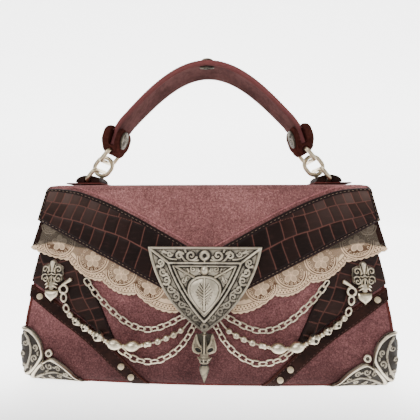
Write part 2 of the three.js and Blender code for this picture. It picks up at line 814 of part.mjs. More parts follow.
for (const { name, sign } of sides) {
  for (const [label, rows] of [["upper", upperPath], ["lower", lowerPath]]) {
    const points = pathPoints(rows, sign);
    const length = new THREE.CatmullRomCurve3(points).getLength();
    const count = Math.round(length / chain.spacing);
    add(label + "_chain_" + name, tube(points, chain.radius, chain.sides, count), silver);
  }

  const strandPoints = pathPoints(strandPath, sign);
  const strandCurve = new THREE.CatmullRomCurve3(strandPoints);
  const ringY = frontY(strandRing.x, strandRing.z) - strandRing.lift;
  const strandStart = torus(strandRing.radius, strandRing.wire, 10, 5, (a, b, c) =>
    vec(sign * strandRing.x + a, ringY + c, strandRing.z + b),
  );
  add("bead_strand_" + name, fuse([strandShape(strandCurve, sign), strandStart]), silver);

  const studTop = vec(sign * stud.x, frontY(stud.x, stud.z) - stud.lift - 4.8, stud.z);
  const studCap = loft(studSteps.map((row) => studRing(sign, row)), { endPoint: studTop });
  const collarRows = [
    { radius: collar.radius * 0.6, at: collar.height / 2 },
    { radius: collar.radius, at: 0.4 },
    { radius: collar.radius * 0.7, at: -collar.height / 2 },
  ];
  const collarY = frontY(stud.x, stud.z - collar.drop) - stud.lift - 1.6;
  const collarAt = (a, b, at) => vec(sign * stud.x + a, collarY + b * 0.6, stud.z - collar.drop + at);
  add("flower_stud_" + name, fuse([studCap, turned(collarRows, 10, collarAt)]), silver);

  const heartTop = vec(sign * stud.x, frontY(stud.x, heart.z) - heart.lift - 3, heart.z);
  const heartRings = [heartRing(sign, 1, 0), heartRing(sign, 1, 0.9), heartRing(sign, 0.74, 2.5)];
  add("heart_drop_" + name, loft(heartRings, { endPoint: heartTop }), silver);

  const guardGrid = (out) =>
    steps(4).map((w, i) =>
      guardTop.map((row) => {
        const even = THREE.MathUtils.lerp(guard.levels[0], row.z, w);
        return guardPoint(sign, row.along, Math.min(even, guard.levels[i] || row.z), out);
      }),
    );
  const guardShape = sheet(guardGrid(guard.lift + guard.thickness), guardGrid(guard.lift));
  add("corner_guard_" + name, guardShape, silver);
}

// The handle, its tabs, the links and the anchors on top.
function handleStations() {
  const bent = steps(handle.stations).map((t) => {
    const x = handle.bendX * (2 * t - 1);
    return vec(x, 0, handle.apexZ - handle.fall * x * x);
  });
  const end = (sign, s) => {
    const x = sign * (tab.top.x + s * Math.cos(tab.tilt));
    return vec(x, 0, tab.top.z - s * Math.sin(tab.tilt));
  };
  const ends = [1, 6, tab.strapEnd];
  const left = [...ends].reverse().map((s) => end(-1, s));
  const right = ends.map((s) => end(1, s));
  return [...left, ...bent, ...right];
}

const spine = handleStations();
const handleRings = spine.map((at, i) => {
  const before = spine[Math.max(0, i - 1)];
  const after = spine[Math.min(spine.length - 1, i + 1)];
  const along = after.clone().sub(before).normalize();
  const out = vec(-along.z, 0, along.x);
  const cup = handle.cup * Math.max(0, 1 - (at.x / (handle.bendX - 2)) ** 4);
  const half = handle.width / 2;
  const across = [-1, -0.55, 0, 0.55, 1];
  const level = (t, side) =>
    at
      .clone()
      .addScaledVector(out, (side * handle.thickness) / 2 - cup * t * t)
      .setY(half * t);
  return [...across.map((t) => level(t, 1)), ...[...across].reverse().map((t) => level(t, -1))];
});
add("handle_strap", loft(handleRings), redLeather);

function coinShape(radius, rim, dome, place) {
  const rows = [
    { radius, at: 0 },
    { radius, at: rim },
    { radius: radius * 0.6, at: dome },
  ];
  return turned(rows, coin.sides, place);
}

const topCoinZ = handle.apexZ + handle.thickness / 2 + seat;
const underCoinZ = handle.apexZ - handle.thickness / 2 - underCoin.lowered;
const topCoinAt = (a, b, at) => vec(a, b, topCoinZ + at);
const underCoinAt = (a, b, at) => {
  const y = underCoin.y + b * underCoin.across;
  return vec(a * underCoin.along, y, underCoinZ + underCoin.slope * y - at);
};
add("apex_coin_top", coinShape(apexCoin.radius, apexCoin.rim, apexCoin.dome, topCoinAt), silver);
add("apex_coin_under", coinShape(apexCoin.radius, apexCoin.rim, apexCoin.dome, underCoinAt), silver);

// A prism on an outline: the outline's two numbers and the height are placed by toPoint.
function prism(outline, low, high, toPoint) {
  const shape = new THREE.Shape(outline.map(([a, b]) => new THREE.Vector2(a, b)));
  const solid = new THREE.ExtrudeGeometry(shape, { depth: high - low, bevelEnabled: false });
  const flat = mergeVertices(solid.deleteAttribute("normal").deleteAttribute("uv"));
  const position = flat.getAttribute("position");
  const points = [];
  for (let i = 0; i < position.count; i += 1) {
    points.push(toPoint(position.getX(i), position.getY(i), position.getZ(i) + low));
  }
  const index = [...flat.index.array];
  const faces = steps(index.length / 3 - 1).map((unused, i) => index.slice(3 * i, 3 * i + 3));
  return closedGeometry(points, faces);
}

function linkShape({ length, width, corner }, centre, along, across) {
  const reachU = length / 2 - corner;
  const reachV = width / 2 - corner;
  const through = along.clone().cross(across);
  const rings = [];
  for (const [u, v, from] of [[1, 1, 0], [-1, 1, 90], [-1, -1, 180], [1, -1, 270]]) {
    for (const extra of [0, 45, 90]) {
      const turn = THREE.MathUtils.degToRad(from + extra);
      const ring = polygon(link.wire / 2, link.sides).map((p) => {
        const reach = corner + p.x;
        return centre
          .clone()
          .addScaledVector(along, u * reachU + reach * Math.cos(turn))
          .addScaledVector(across, v * reachV + reach * Math.sin(turn))
          .addScaledVector(through, p.y);
      });
      rings.push(ring);
    }
  }
  return loft(rings, { joined: true });
}

for (const { name, sign } of sides) {
  const down = vec(sign * Math.cos(tab.tilt), 0, -Math.sin(tab.tilt));
  const out = vec(sign * Math.sin(tab.tilt), 0, Math.cos(tab.tilt));
  const top = vec(sign * tab.top.x, 0, tab.top.z);
  const tabAt = (s, n, y) => top.clone().addScaledVector(down, s).addScaledVector(out, n).setY(y);

  const upperLeg = tabProfile.map(({ s, n }) => [s, n * tab.outer]);
  const lowerLeg = [...tabProfile].reverse().map(({ s, n }) => [s, -n * tab.inner]);
  const slot = [
    [-1, -tab.mouth],
    [4, -tab.slot],
    [tab.slotEnd, -tab.slot],
    [tab.slotEnd, tab.slot],
    [4, tab.slot],
    [-1, tab.mouth],
  ];
  const fold = prism([...upperLeg, ...lowerLeg, ...slot], -20, 20, tabAt);
  const rightSide = tabOutline.map(({ s, halfWidth }) => [s, halfWidth]);
  const leftSide = [...tabOutline].reverse().map(({ s, halfWidth }) => [s, -halfWidth]);
  const tongue = prism([...rightSide, ...leftSide], -10, 10, (s, y, n) => tabAt(s, n, y));
  const hole = polygon(tab.tunnel, 8).map((p) => [p.x + tab.tunnelAt, p.y]);
  const bore = prism(hole, -20, 20, tabAt);
  const tabSolid = solidOf(fold).intersect(solidOf(tongue)).subtract(solidOf(bore));
  add("handle_tab_" + name, geometryOf(tabSolid), darkLeather);

  for (const [label, face, thicker] of [["outer", 1, tab.outer], ["inner", -1, tab.inner]]) {
    const coinLevel = tabProfile[2].n * thicker + seat;
    const place = (a, b, at) => tabAt(coin.at + a, face * (coinLevel + at), coin.y + b);
    add("tab_coin_" + name + "_" + label, coinShape(coin.radius, coin.rim, coin.dome, place), silver);
  }

  const wireLow = vec(sign * anchor.x, 0, anchor.wireZ);
  const wireHigh = tabAt(tab.tunnelAt, 0, 0);
  const along = wireHigh.clone().sub(wireLow).normalize();
  const depth = vec(0, 1, 0);
  const across = depth.clone().cross(along);
  let from = 0;
  links.forEach((row) => {
    const centre = wireLow.clone().addScaledVector(along, from + row.length / 2);
    const sideways = row.flat ? across : depth;
    add("handle_link_" + name + "_" + row.name, linkShape(row, centre, along, sideways), silver);
    from += row.length - link.wire - link.play;
  });

  const anchorAt = (x, z, y) => vec(sign * (anchor.x + x), y, z);
  const patch = [
    [-anchor.patchIn, anchor.z],
    [anchor.patchOut, anchor.z],
    [anchor.patchOut, anchor.z + anchor.patchThickness],
    [-anchor.patchIn, anchor.z + anchor.patchThickness],
  ];
  const halfPatch = anchor.patchWidth / 2;
  add("anchor_patch_" + name, prism(patch, -halfPatch, halfPatch, anchorAt), redLeather);

  const loopZ = anchor.z + anchor.patchThickness + 0.3;
  const arch = steps(8).map((t) => {
    const turn = Math.PI * t;
    return [anchor.loopHalf * Math.cos(turn), loopZ + 0.8 + (anchor.loopHeight - 0.8) * Math.sin(turn)];
  });
  const tunnelTop = loopZ + anchor.tunnelHeight;
  const loopOutline = [
    ...arch,
    [-anchor.loopHalf, loopZ],
    [-anchor.tunnelHalf, loopZ],
    [-anchor.tunnelHalf, tunnelTop - 1],
    [-anchor.tunnelHalf + 1, tunnelTop],
    [anchor.tunnelHalf - 1, tunnelTop],
    [anchor.tunnelHalf, tunnelTop - 1],
    [anchor.tunnelHalf, loopZ],
    [anchor.loopHalf, loopZ],
  ];
  const halfLoop = anchor.loopWidth / 2;
  add("anchor_loop_" + name, prism(loopOutline, -halfLoop, halfLoop, anchorAt), darkLeather);
}

export default bag;
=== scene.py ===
import math
import random

import bmesh
import bpy
import numpy as np
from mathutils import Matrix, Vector


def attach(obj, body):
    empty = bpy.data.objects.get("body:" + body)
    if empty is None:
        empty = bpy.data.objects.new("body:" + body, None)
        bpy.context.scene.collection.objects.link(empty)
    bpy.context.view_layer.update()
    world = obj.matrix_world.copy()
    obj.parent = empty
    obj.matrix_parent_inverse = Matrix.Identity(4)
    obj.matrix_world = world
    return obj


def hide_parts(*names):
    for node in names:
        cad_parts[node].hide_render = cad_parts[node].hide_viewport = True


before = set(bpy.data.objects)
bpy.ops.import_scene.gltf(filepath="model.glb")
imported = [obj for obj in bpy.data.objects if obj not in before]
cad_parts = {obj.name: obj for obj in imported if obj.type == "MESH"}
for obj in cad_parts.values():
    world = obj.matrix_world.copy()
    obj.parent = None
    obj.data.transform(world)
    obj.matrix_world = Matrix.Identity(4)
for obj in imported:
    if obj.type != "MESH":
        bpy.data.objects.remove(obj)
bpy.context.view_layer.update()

mm = 0.001
sides = {"left": -1, "right": 1}
toFront = (0.0, -1.0, 0.0)
toRight = (1.0, 0.0, 0.0)
toTop = (0.0, 0.0, 1.0)


# Shader and geometry nodes written as Python expressions
class Wire:
    def __init__(self, tree, socket=None):
        self.tree = tree
        self.socket = socket

    def plug(self, target, value):
        if isinstance(value, Wire):
            self.tree.links.new(value.socket, target)
        else:
            target.default_value = value

    def node(self, kind, settings=None, sockets=None, out=0):
        made = self.tree.nodes.new(kind)
        for key, value in (settings or {}).items():
            if key == "stops":
                fillRamp(made.color_ramp, value)
            else:
                setattr(made, key, value)
        for key, value in (sockets or {}).items():
            self.plug(made.inputs[key], value)
        return Wire(self.tree, made.outputs[out])

    def math(self, operation, first, second=0.0):
        return self.node("ShaderNodeMath", {"operation": operation}, {0: first, 1: second})

    def __add__(self, other):
        return self.math("ADD", self, other)

    def __radd__(self, other):
        return self.math("ADD", other, self)

    def __sub__(self, other):
        return self.math("SUBTRACT", self, other)

    def __rsub__(self, other):
        return self.math("SUBTRACT", other, self)

    def __mul__(self, other):
        return self.math("MULTIPLY", self, other)

    def __rmul__(self, other):
        return self.math("MULTIPLY", other, self)


def fillRamp(ramp, stops):
    while len(ramp.elements) < len(stops):
        ramp.elements.new(0.5)
    for element, (at, colour) in zip(ramp.elements, stops):
        element.position = at
        element.color = colour


def linear(hexColour):
    parts = [int(hexColour[i:i + 2], 16) / 255 for i in (1, 3, 5)]
    return tuple(p / 12.92 if p < 0.04045 else ((p + 0.055) / 1.055) ** 2.4 for p in parts) + (1.0,)


def mixColour(factor, first, second, mode="MIX"):
    maker = next(value for value in (factor, first, second) if isinstance(value, Wire))
    settings = {"data_type": "RGBA", "blend_type": mode}
    return maker.node("ShaderNodeMix", settings, {0: factor, 6: first, 7: second}, out=2)


def startFinish(name):
    material = bpy.data.materials.new(name)
    material.use_nodes = True
    shader = material.node_tree.nodes["Principled BSDF"]
    place = Wire(material.node_tree).node("ShaderNodeTexCoord", out="Object")
    return material, shader, place


def noise(place, scale, detail=3.0, roughness=0.55):
    sockets = {"Vector": place, "Scale": scale, "Detail": detail, "Roughness": roughness}
    return place.node("ShaderNodeTexNoise", None, sockets, out="Fac")


def stretched(place, scale):
    return place.node("ShaderNodeMapping", None, {"Vector": place, "Scale": scale})


def cells(place, scale):
    sockets = {"Vector": place, "Scale": scale}
    return place.node("ShaderNodeTexVoronoi", {"feature": "F1"}, sockets, out="Distance")


def split(vector, number):
    return vector.node("ShaderNodeSeparateXYZ", None, {0: vector}, out=number)


def ramp(value, stops):
    return value.node("ShaderNodeValToRGB", {"stops": stops}, {0: value}, out="Color")


def soften(value, low, high):
    settings = {"interpolation_type": "SMOOTHSTEP"}
    return value.node("ShaderNodeMapRange", settings, {"Value": value, "From Min": low, "From Max": high})


def mark(wire, name):
    return wire.node("ShaderNodeAttribute", {"attribute_name": name}, out="Fac")


def bump(height, strength, distance):
    return height.node("ShaderNodeBump", None, {"Height": height, "Strength": strength, "Distance": distance})


def fit(shader, **sockets):
    wire = Wire(shader.id_data)
    for name, value in sockets.items():
        wire.plug(shader.inputs[name.replace("_", " ")], value)


# Finishes
suedeLook = {
    "cloud": 24.0, "rub": (170.0, 170.0, 230.0), "fleck": 1050.0, "nap": 2100.0, "pebble": 640.0,
    "speckle": [(0.37, (0.42, 0.4, 0.4, 1)), (0.5, (0.97, 0.95, 0.95, 1)), (0.63, (1.85, 1.72, 1.68, 1))],
    "hollow": (0.5, 0.47, 0.48, 1.0), "lowerShade": (0.3, 0.28, 0.28, 1.0),
    "baseShade": (0.4, 0.38, 0.38, 1.0), "gusset": "#4A2221", "edge": "#2A1514", "sheen": "#C98F8C",
}


def suedeFinish(name, deep, middle, lit):
    look = suedeLook
    material, shader, place = startFinish(name)
    cloud = noise(place, look["cloud"], 5.0, 0.6)
    rub = noise(stretched(place, look["rub"]), 1.0, 6.0, 0.75)
    fleck = noise(place, look["fleck"], 4.0, 0.85)
    nap = noise(place, look["nap"], 2.0, 0.6)
    pebble = cells(place, look["pebble"])
    tone = cloud * 0.5 + rub * 0.32 + fleck * 0.18
    hide = ramp(tone, [(0.32, linear(deep)), (0.5, linear(middle)), (0.68, linear(lit))])
    colour = mixColour(0.7, hide, ramp(fleck, look["speckle"]), "MULTIPLY")
    colour = mixColour(soften(pebble, 0.3, 0.75) * 0.5, colour, look["hollow"], "MULTIPLY")
    level = split(place, 2)
    # painted shade: the hide darkens towards the bottom of the bag, and more at the base
    colour = mixColour(1 - soften(level + cloud * 0.03, 0.0, 0.12), colour, look["lowerShade"], "MULTIPLY")
    colour = mixColour(1 - soften(level + cloud * 0.02, -0.01, 0.06), colour, look["baseShade"], "MULTIPLY")
    colour = mixColour(mark(place, "gusset") * 0.85, colour, linear(look["gusset"]))
    colour = mixColour(mark(place, "edge"), colour, linear(look["edge"]))
    relief = fleck * 0.6 + nap * 0.3 + rub * 0.35 - pebble * 0.7
    fit(shader, Base_Color=colour, Roughness=0.82 + rub * 0.16, Normal=bump(relief, 0.6, 0.0006))
    fit(shader, Sheen_Weight=0.06, Sheen_Roughness=0.5, Sheen_Tint=linear(look["sheen"]))
    fit(shader, Specular_IOR_Level=0.08)
    return material


def crocFinish():
    material, shader, place = startFinish("croc_embossed")
    grout, tone, bloom, border = (mark(place, name) for name in ("grout", "tone", "bloom", "border"))
    vein = noise(stretched(place, (160.0, 160.0, 520.0)), 1.0, 4.0, 0.6)
    pore = noise(place, 900.0, 3.0, 0.6)
    dark = mixColour(tone, linear("#120806"), linear("#24130F"))
    pale = mixColour(tone, linear("#3C2A24"), linear("#64504A"))
    # the pale share is painted sheen on the bands, palest at their outer upper corner; on the side panels it
    # is an even slight paling of the tiles
    scale = mixColour(bloom, dark, pale)
    worn = mixColour(soften(vein, 0.5, 0.8) * 0.25, scale, linear("#4A2E2A"))
    edged = mixColour(border, worn, linear("#1C0F0E"))
    colour = mixColour(grout * (0.45 + vein * 0.9), edged, linear("#6E453D"))
    rough = 0.44 + pore * 0.16 + grout * 0.2
    fit(shader, Base_Color=colour, Roughness=rough, Normal=bump(vein * 0.5 + pore * 0.4, 0.3, 0.0004))
    fit(shader, Coat_Weight=0.02, Coat_Roughness=0.3, Specular_IOR_Level=0.1)
    return material


def leatherFinish(name, deep, lit, edgeColour, roughness, shine):
    material, shader, place = startFinish(name)
    cloud = noise(place, 60.0, 5.0, 0.6)
    pore = cells(place, 1500.0)
    crease = noise(place, 420.0, 4.0, 0.65)
    hide = mixColour(soften(cloud * 0.6 + crease * 0.4, 0.34, 0.66), linear(deep), linear(lit))
    colour = mixColour(mark(place, "edge"), hide, linear(edgeColour))
    grain = bump(pore * 0.5 + crease * 0.7, 0.35, 0.0004)
    fit(shader, Base_Color=colour, Roughness=roughness + crease * 0.25, Normal=grain)
    fit(shader, Specular_IOR_Level=shine)
    return material


def laceFinish():
    material, shader, place = startFinish("lace_cotton")
    flat = place.node("ShaderNodeUVMap", {"uv_map": "flat"})
    u, v = split(flat, 0), split(flat, 1)
    shade = mark(place, "shade")
    raised = mark(place, "raised")
    pitch = 3.6  # radians of the net's wave for each millimetre of cloth
    net = u.math("ABSOLUTE", u.math("SINE", (u + v) * pitch) * u.math("SINE", (u - v) * pitch))
    weave = noise(place, 1500.0, 2.0, 0.6)
    cloud = noise(place, 110.0, 5.0, 0.65)
    cream = mixColour(cloud, linear("#CEAC8E"), linear("#F8DDBA"))
    sunk = mixColour(cloud, linear("#563E2F"), linear("#7A5E49"))
    # painted shadow of the flap: greyer copies of the cream and the sunk colour where the shade mark is set
    shadowedCream = mixColour(cloud, linear("#5A4E42"), linear("#7F7364"))
    shadowedSunk = mixColour(cloud, linear("#352C24"), linear("#4E443A"))
    colour = mixColour(shade, mixColour(raised, sunk, cream), mixColour(raised, shadowedSunk, shadowedCream))
    hole = soften(net, 0.55, 0.7) * (1 - raised)
    thread = bump(weave * 0.6 + raised * 0.6, 0.4, 0.0003)
    fit(shader, Base_Color=colour, Roughness=0.86 + weave * 0.1, Normal=thread, Alpha=1 - hole)
    fit(shader, Sheen_Weight=0.1, Specular_IOR_Level=0.15)
    return material


def silverFinish(name, bright, middle, deep):
    material, shader, place = startFinish(name)
    recess = mark(place, "recess")
    cloud = noise(place, 130.0, 5.0, 0.6)
    spot = noise(place, 900.0, 4.0, 0.7)
    tarnish = soften(cloud * 0.6 + spot * 0.4, 0.46, 0.66)
    metal = mixColour(tarnish * 0.6, linear(bright), linear(middle))
    patina = recess.math("MINIMUM", recess + tarnish * recess * 0.4, 1.0)
    colour = mixColour(patina, metal, linear(deep))
    rough = 0.3 + tarnish * 0.16 + patina * 0.4
    dents = bump(spot * 0.6 + cloud * 0.4, 0.15, 0.0003)
    fit(shader, Base_Color=colour, Metallic=1 - patina * 0.8, Roughness=rough, Normal=dents)
    return material


def rivetFinish():
    material, shader, place = startFinish("rivet_cream")
    spot = noise(place, 700.0, 4.0, 0.65)
    colour = mixColour(spot, linear("#8E7B60"), linear("#C6B698"))
    fit(shader, Base_Color=colour, Roughness=0.28 + spot * 0.2, Metallic=spot * 0.3)
    return material


def threadFinish(name, dark, light):
    material, shader, place = startFinish(name)
    twist = noise(stretched(place, (900.0, 900.0, 2600.0)), 1.0, 2.0)
    colour = mixColour(twist, linear(dark), linear(light))
    fit(shader, Base_Color=colour, Roughness=0.7 + twist * 0.2)
    return material


def floorFinish():
    material, shader, place = startFinish("studio_white")
    glow = mixColour(soften(split(place, 1), -0.12, 0.0), (0.0, 0.0, 0.0, 1.0), (1.0, 1.0, 1.0, 1.0))
    fit(shader, Base_Color=(0.9, 0.9, 0.9, 1.0), Roughness=0.9, Emission_Color=glow, Emission_Strength=3.8)
    return material


finishes = {
    "suede": suedeFinish("suede_pink", "#634041", "#8B5D5D", "#A97575"),
    "flapSuede": suedeFinish("suede_flap", "#634041", "#875B59", "#A97674"),
    "trimSuedeHighlit": suedeFinish("suede_trim", "#7E4A4B", "#A36C6C", "#BC8583"),
    "croc": crocFinish(),
    "darkLeather": leatherFinish("leather_dark_brown", "#180E0C", "#2C1A16", "#4A2923", 0.6, 0.05),
    "tabLeather": leatherFinish("leather_tab", "#2A1512", "#44241F", "#5A2F28", 0.6, 0.0),
    "strapLeather": leatherFinish("leather_handle", "#3B2827", "#523836", "#6E403F", 0.75, 0.0),
    "redLeather": leatherFinish("leather_red", "#46221F", "#693834", "#7A443E", 0.6, 0.02),
    "lace": laceFinish(),
    "silver": silverFinish("antique_silver", "#D4C8B2", "#877B68", "#211911"),
    "chainSilver": silverFinish("warm_silver", "#E0D3BA", "#9C8E76", "#261D14"),
    "linkSilver": silverFinish("pale_silver", "#C2B296", "#857760", "#2A2117"),
    "darkSilver": silverFinish("worn_silver", "#B4A78F", "#6A5E4C", "#17110A"),
    "rivet": rivetFinish(),
    "tanThread": threadFinish("thread_tan", "#5A483A", "#96806A"),
    "pinkThread": threadFinish("thread_rose", "#4C2829", "#6E4040"),
    "redThread": threadFinish("thread_red", "#2E1815", "#5A332C"),
    "floor": floorFinish(),
}
print("finishes ready:", len(finishes))


# Curves and tables
def column(rows, number):
    return np.array([row[number] for row in rows], float)


def bend(xs, ys, at):  # a smooth curve through a short table, with no overshoot
    at = np.clip(np.asarray(at, float), xs[0], xs[-1])
    gap = np.diff(xs)
    rise = np.diff(ys) / gap
    pair = rise[:-1] * rise[1:]
    inner = np.where(pair > 0, 2 * pair / (rise[:-1] + rise[1:] + 1e-12), 0)
    slope = np.concatenate([rise[:1], inner, rise[-1:]])
    i = np.clip(np.searchsorted(xs, at, side="right") - 1, 0, len(gap) - 1)
    t = (at - xs[i]) / gap[i]
    start = (2 * t**3 - 3 * t**2 + 1) * ys[i] + (t**3 - 2 * t**2 + t) * gap[i] * slope[i]
    return start + (3 * t**2 - 2 * t**3) * ys[i + 1] + (t**3 - t**2) * gap[i] * slope[i + 1]


def curveAt(rows, at, value=1):  # the first column is the place, another one the value
    return bend(column(rows, 0), column(rows, value), at)


def lengthAlong(line):
    return np.concatenate([[0], np.cumsum(np.linalg.norm(np.diff(line, axis=0), axis=1))])


def evenPath(line, step):
    line = np.asarray(line, float)
    reach = lengthAlong(line)
    at = np.linspace(0, reach[-1], max(2, int(round(reach[-1] / step)) + 1))
    return np.stack([np.interp(at, reach, line[:, k]) for k in range(line.shape[1])], axis=1)


def smoothPath(points, step):
    points = np.asarray(points, float)
    ends = np.vstack([2 * points[0] - points[1], points, 2 * points[-1] - points[-2]])
    t = np.linspace(0, 1, 20, endpoint=False)[:, None]
    runs = []
    for a, b, c, d in zip(ends, ends[1:], ends[2:], ends[3:]):
        square = (2 * a - 5 * b + 4 * c - d) * t**2
        cube = (3 * b - a - 3 * c + d) * t**3
        runs.append(0.5 * (2 * b + (c - a) * t + square + cube))
    return evenPath(np.vstack(runs + [points[-1:]]), step)


def unit(vectors):
    return vectors / np.maximum(np.linalg.norm(vectors, axis=-1, keepdims=True), 1e-9)


def circle(count):
    return np.linspace(0, 2 * math.pi, count, endpoint=False)


def spots(x, y, z):
    return np.stack(np.broadcast_arrays(x, y, z), -1).astype(float)


def grade(value, low, high):  # 0 below low, 1 above high, or the other way round
    return np.clip((value - low) / (high - low), 0, 1)


def bell(distance, width):
    return np.exp(-((distance / width) ** 2))


def edgeSteps(count, length, radius):  # even steps, with a few more inside the rounded edges
    near = np.array([0.0, 0.12, 0.4]) * radius / length
    middle = np.linspace(radius / length, 1 - radius / length, count)
    return np.concatenate([near, middle, 1 - near[::-1]])


def roundedEdge(distance, radius, least=0.0):  # from least at the edge up to 1
    t = 1 - np.clip(distance / radius, 0, 1)
    return least + (1 - least) * np.sqrt(np.maximum(0, 1 - t * t))


# Parts are (points in millimetres, faces)
def loftPart(rings, joined=False):
    rings = np.asarray(rings, float)
    rows, cols = rings.shape[:2]
    index = np.arange(rows * cols).reshape(rows, cols)
    low = index if joined else index[:-1]
    high = np.roll(index, -1, 0) if joined else index[1:]
    faces = np.stack([low, np.roll(low, -1, 1), np.roll(high, -1, 1), high], -1).reshape(-1, 4).tolist()
    points = rings.reshape(-1, 3)
    if joined:
        return points, faces
    for ring, corners in ((index[0], rings[0]), (index[-1], rings[-1])):
        middle = len(points)
        points = np.vstack([points, corners.mean(0)])
        faces += [[middle, int(a), int(b)] for a, b in zip(ring, np.roll(ring, -1))]
    return points, faces


def backRows(count, skip):  # the hidden side of a layer needs only some of its rows
    return np.unique(np.append(np.arange(0, count - 1, skip), count - 1))


def bothSides(front, back, skip=1):
    return np.concatenate([front.ravel(), back[backRows(len(back), skip)].ravel()])


def gridFaces(index):
    return np.stack([index[:-1, :-1], index[:-1, 1:], index[1:, 1:], index[1:, :-1]], -1).reshape(-1, 4)


def sheetPart(outer, inner, skip=1):
    rows, cols = outer.shape[:2]
    kept = backRows(rows, skip)
    front = np.arange(rows * cols).reshape(rows, cols)
    back = rows * cols + np.arange(len(kept) * cols).reshape(-1, cols)
    first = np.stack([front[0, 1:], front[0, :-1], back[0, :-1], back[0, 1:]], -1)
    last = np.stack([front[-1, :-1], front[-1, 1:], back[-1, 1:], back[-1, :-1]], -1)
    faces = np.vstack([gridFaces(front), gridFaces(back)[:, ::-1], first, last]).tolist()
    for k, (low, high) in enumerate(zip(kept[:-1], kept[1:])):
        left = front[low:high + 1, 0].tolist()
        right = front[low:high + 1, -1].tolist()
        faces.append(left + [int(back[k + 1, 0]), int(back[k, 0])])
        faces.append(right[::-1] + [int(back[k, -1]), int(back[k + 1, -1])])
    return np.vstack([outer.reshape(-1, 3), inner[kept].reshape(-1, 3)]), faces


def tubePart(path, radius, count=10, up=toFront, joined=False):
    path = np.asarray(path, float)
    if joined:
        tangent = unit(np.roll(path, -1, 0) - np.roll(path, 1, 0))
    else:
        tangent = unit(np.gradient(path, axis=0))
    across = unit(np.cross(np.asarray(up, float), tangent))
    top = np.cross(tangent, across)
    turn = circle(count)[None, :, None]
    size = np.broadcast_to(np.asarray(radius, float), (len(path),))[:, None, None]
    ring = np.cos(turn) * across[:, None, :] + np.sin(turn) * top[:, None, :]
    return loftPart(path[:, None, :] + size * ring, joined)


def turnedPart(rows, count, toPoint):  # rows are (radius, distance along the axis)
    turn = circle(count)
    return loftPart([toPoint(r * np.cos(turn), r * np.sin(turn), np.full(count, at)) for r, at in rows])


def ringPart(radius, wire, toPoint, count=28, wireCount=10):
    around = circle(wireCount)
    reach = radius + wire * np.cos(around)
    rings = [toPoint(reach * math.cos(a), reach * math.sin(a), wire * np.sin(around)) for a in circle(count)]
    return loftPart(rings, joined=True)


def joinParts(parts):
    points, faces, start = [], [], 0
    for partPoints, partFaces in parts:
        points.append(partPoints)
        faces += [[i + start for i in face] for face in partFaces]
        start += len(partPoints)
    return np.vstack(points), faces


# Meshes and pieces
def showMesh(name, mesh):
    shown = bpy.data.objects.new(name, mesh)
    bpy.context.scene.collection.objects.link(shown)
    return shown


def makeMesh(name, part, sharp=40):
    mesh = bpy.data.meshes.new(name)
    mesh.from_pydata((np.asarray(part[0]) * mm).tolist(), [], part[1])
    shape = bmesh.new()
    shape.from_mesh(mesh)
    bmesh.ops.recalc_face_normals(shape, faces=shape.faces)
    shape.to_mesh(mesh)
    shape.free()
    mesh.shade_smooth()
    mesh.set_sharp_from_angle(angle=math.radians(sharp))
    return mesh


def addMarks(mesh, marks):
    for name, values in marks.items():
        layer = mesh.attributes.new(name, "FLOAT", "POINT")
        layer.data.foreach_set("value", np.asarray(values, np.float32).ravel())


def placePiece(name, mesh, finish, slot, replaced=(), body="bag"):
    piece = showMesh(name, mesh)
    if finish:
        mesh.materials.clear()
        mesh.materials.append(finishes[finish])
    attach(piece, body)
    if replaced:
        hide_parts(*replaced)
    return piece


def makePiece(name, part, finish, slot, replaced=(), marks=None, body="bag", sharp=40):
    mesh = makeMesh(name, part, sharp)
    addMarks(mesh, marks or {})
    return placePiece(name, mesh, finish, slot, replaced, body)


def bakedMesh(name, holder):  # the evaluated shape as a plain mesh
    graph = bpy.context.evaluated_depsgraph_get()
    mesh = bpy.data.meshes.new_from_object(holder.evaluated_get(graph), depsgraph=graph)
    bpy.data.objects.remove(holder)
    mesh.name = name
    return mesh


class Casting:  # metal parts joined to one piece, each with its own darkness
    def __init__(self):
        self.parts = []
        self.darkness = []

    def add(self, part, dark=0.0):
        self.parts.append(part)
        self.darkness.append(np.broadcast_to(np.asarray(dark, float), (len(part[0]),)))

    def addPlate(self, front, back, recess, behind=0.0):  # rings from the middle to the rim, then the back
        hidden = back.shape[0] * back.shape[1] + 2
        self.add(loftPart(np.vstack([front, back])), np.append(recess.ravel(), np.full(hidden, behind)))

    def place(self, name, node, finish, sharp, body="bag"):
        marks = {"recess": np.concatenate(self.darkness)}
        makePiece(name, joinParts(self.parts), finish, "antique_silver", [node], marks, body, sharp)


# Geometry Nodes: what repeats along a path
def growTree(name, inputs, build):
    tree = bpy.data.node_groups.new(name, "GeometryNodeTree")
    tree.interface.new_socket("Geometry", in_out="INPUT", socket_type="NodeSocketGeometry")
    for label in inputs:
        tree.interface.new_socket(label, in_out="INPUT", socket_type="NodeSocketFloat")
    tree.interface.new_socket("Material", in_out="INPUT", socket_type="NodeSocketMaterial")
    tree.interface.new_socket("Geometry", in_out="OUTPUT", socket_type="NodeSocketGeometry")
    source = tree.nodes.new("NodeGroupInput")
    sink = tree.nodes.new("NodeGroupOutput")
    wires = {socket.name: Wire(tree, socket) for socket in source.outputs if socket.name}
    grown = build(wires)
    realized = grown.node("GeometryNodeRealizeInstances", None, {0: grown})
    sockets = {"Geometry": realized, "Material": wires["Material"]}
    painted = grown.node("GeometryNodeSetMaterial", None, sockets)
    tree.links.new(painted.socket, sink.inputs[0])
    return tree


def spacedPath(wires):
    curve = wires["Geometry"].node("GeometryNodeMeshToCurve", None, {"Mesh": wires["Geometry"]})
    sockets = {"Curve": curve, "Length": wires["Pitch"]}
    return curve.node("GeometryNodeResampleCurve", {"mode": "LENGTH"}, sockets)


def turnedToPath(wire):
    tangent = wire.node("GeometryNodeInputTangent")
    outward = wire.node("GeometryNodeInputNamedAttribute", {"data_type": "FLOAT_VECTOR"}, {"Name": "outward"})
    settings = {"primary_axis": "X", "secondary_axis": "Z"}
    return wire.node("FunctionNodeAxesToRotation", settings, {0: tangent, 1: outward})


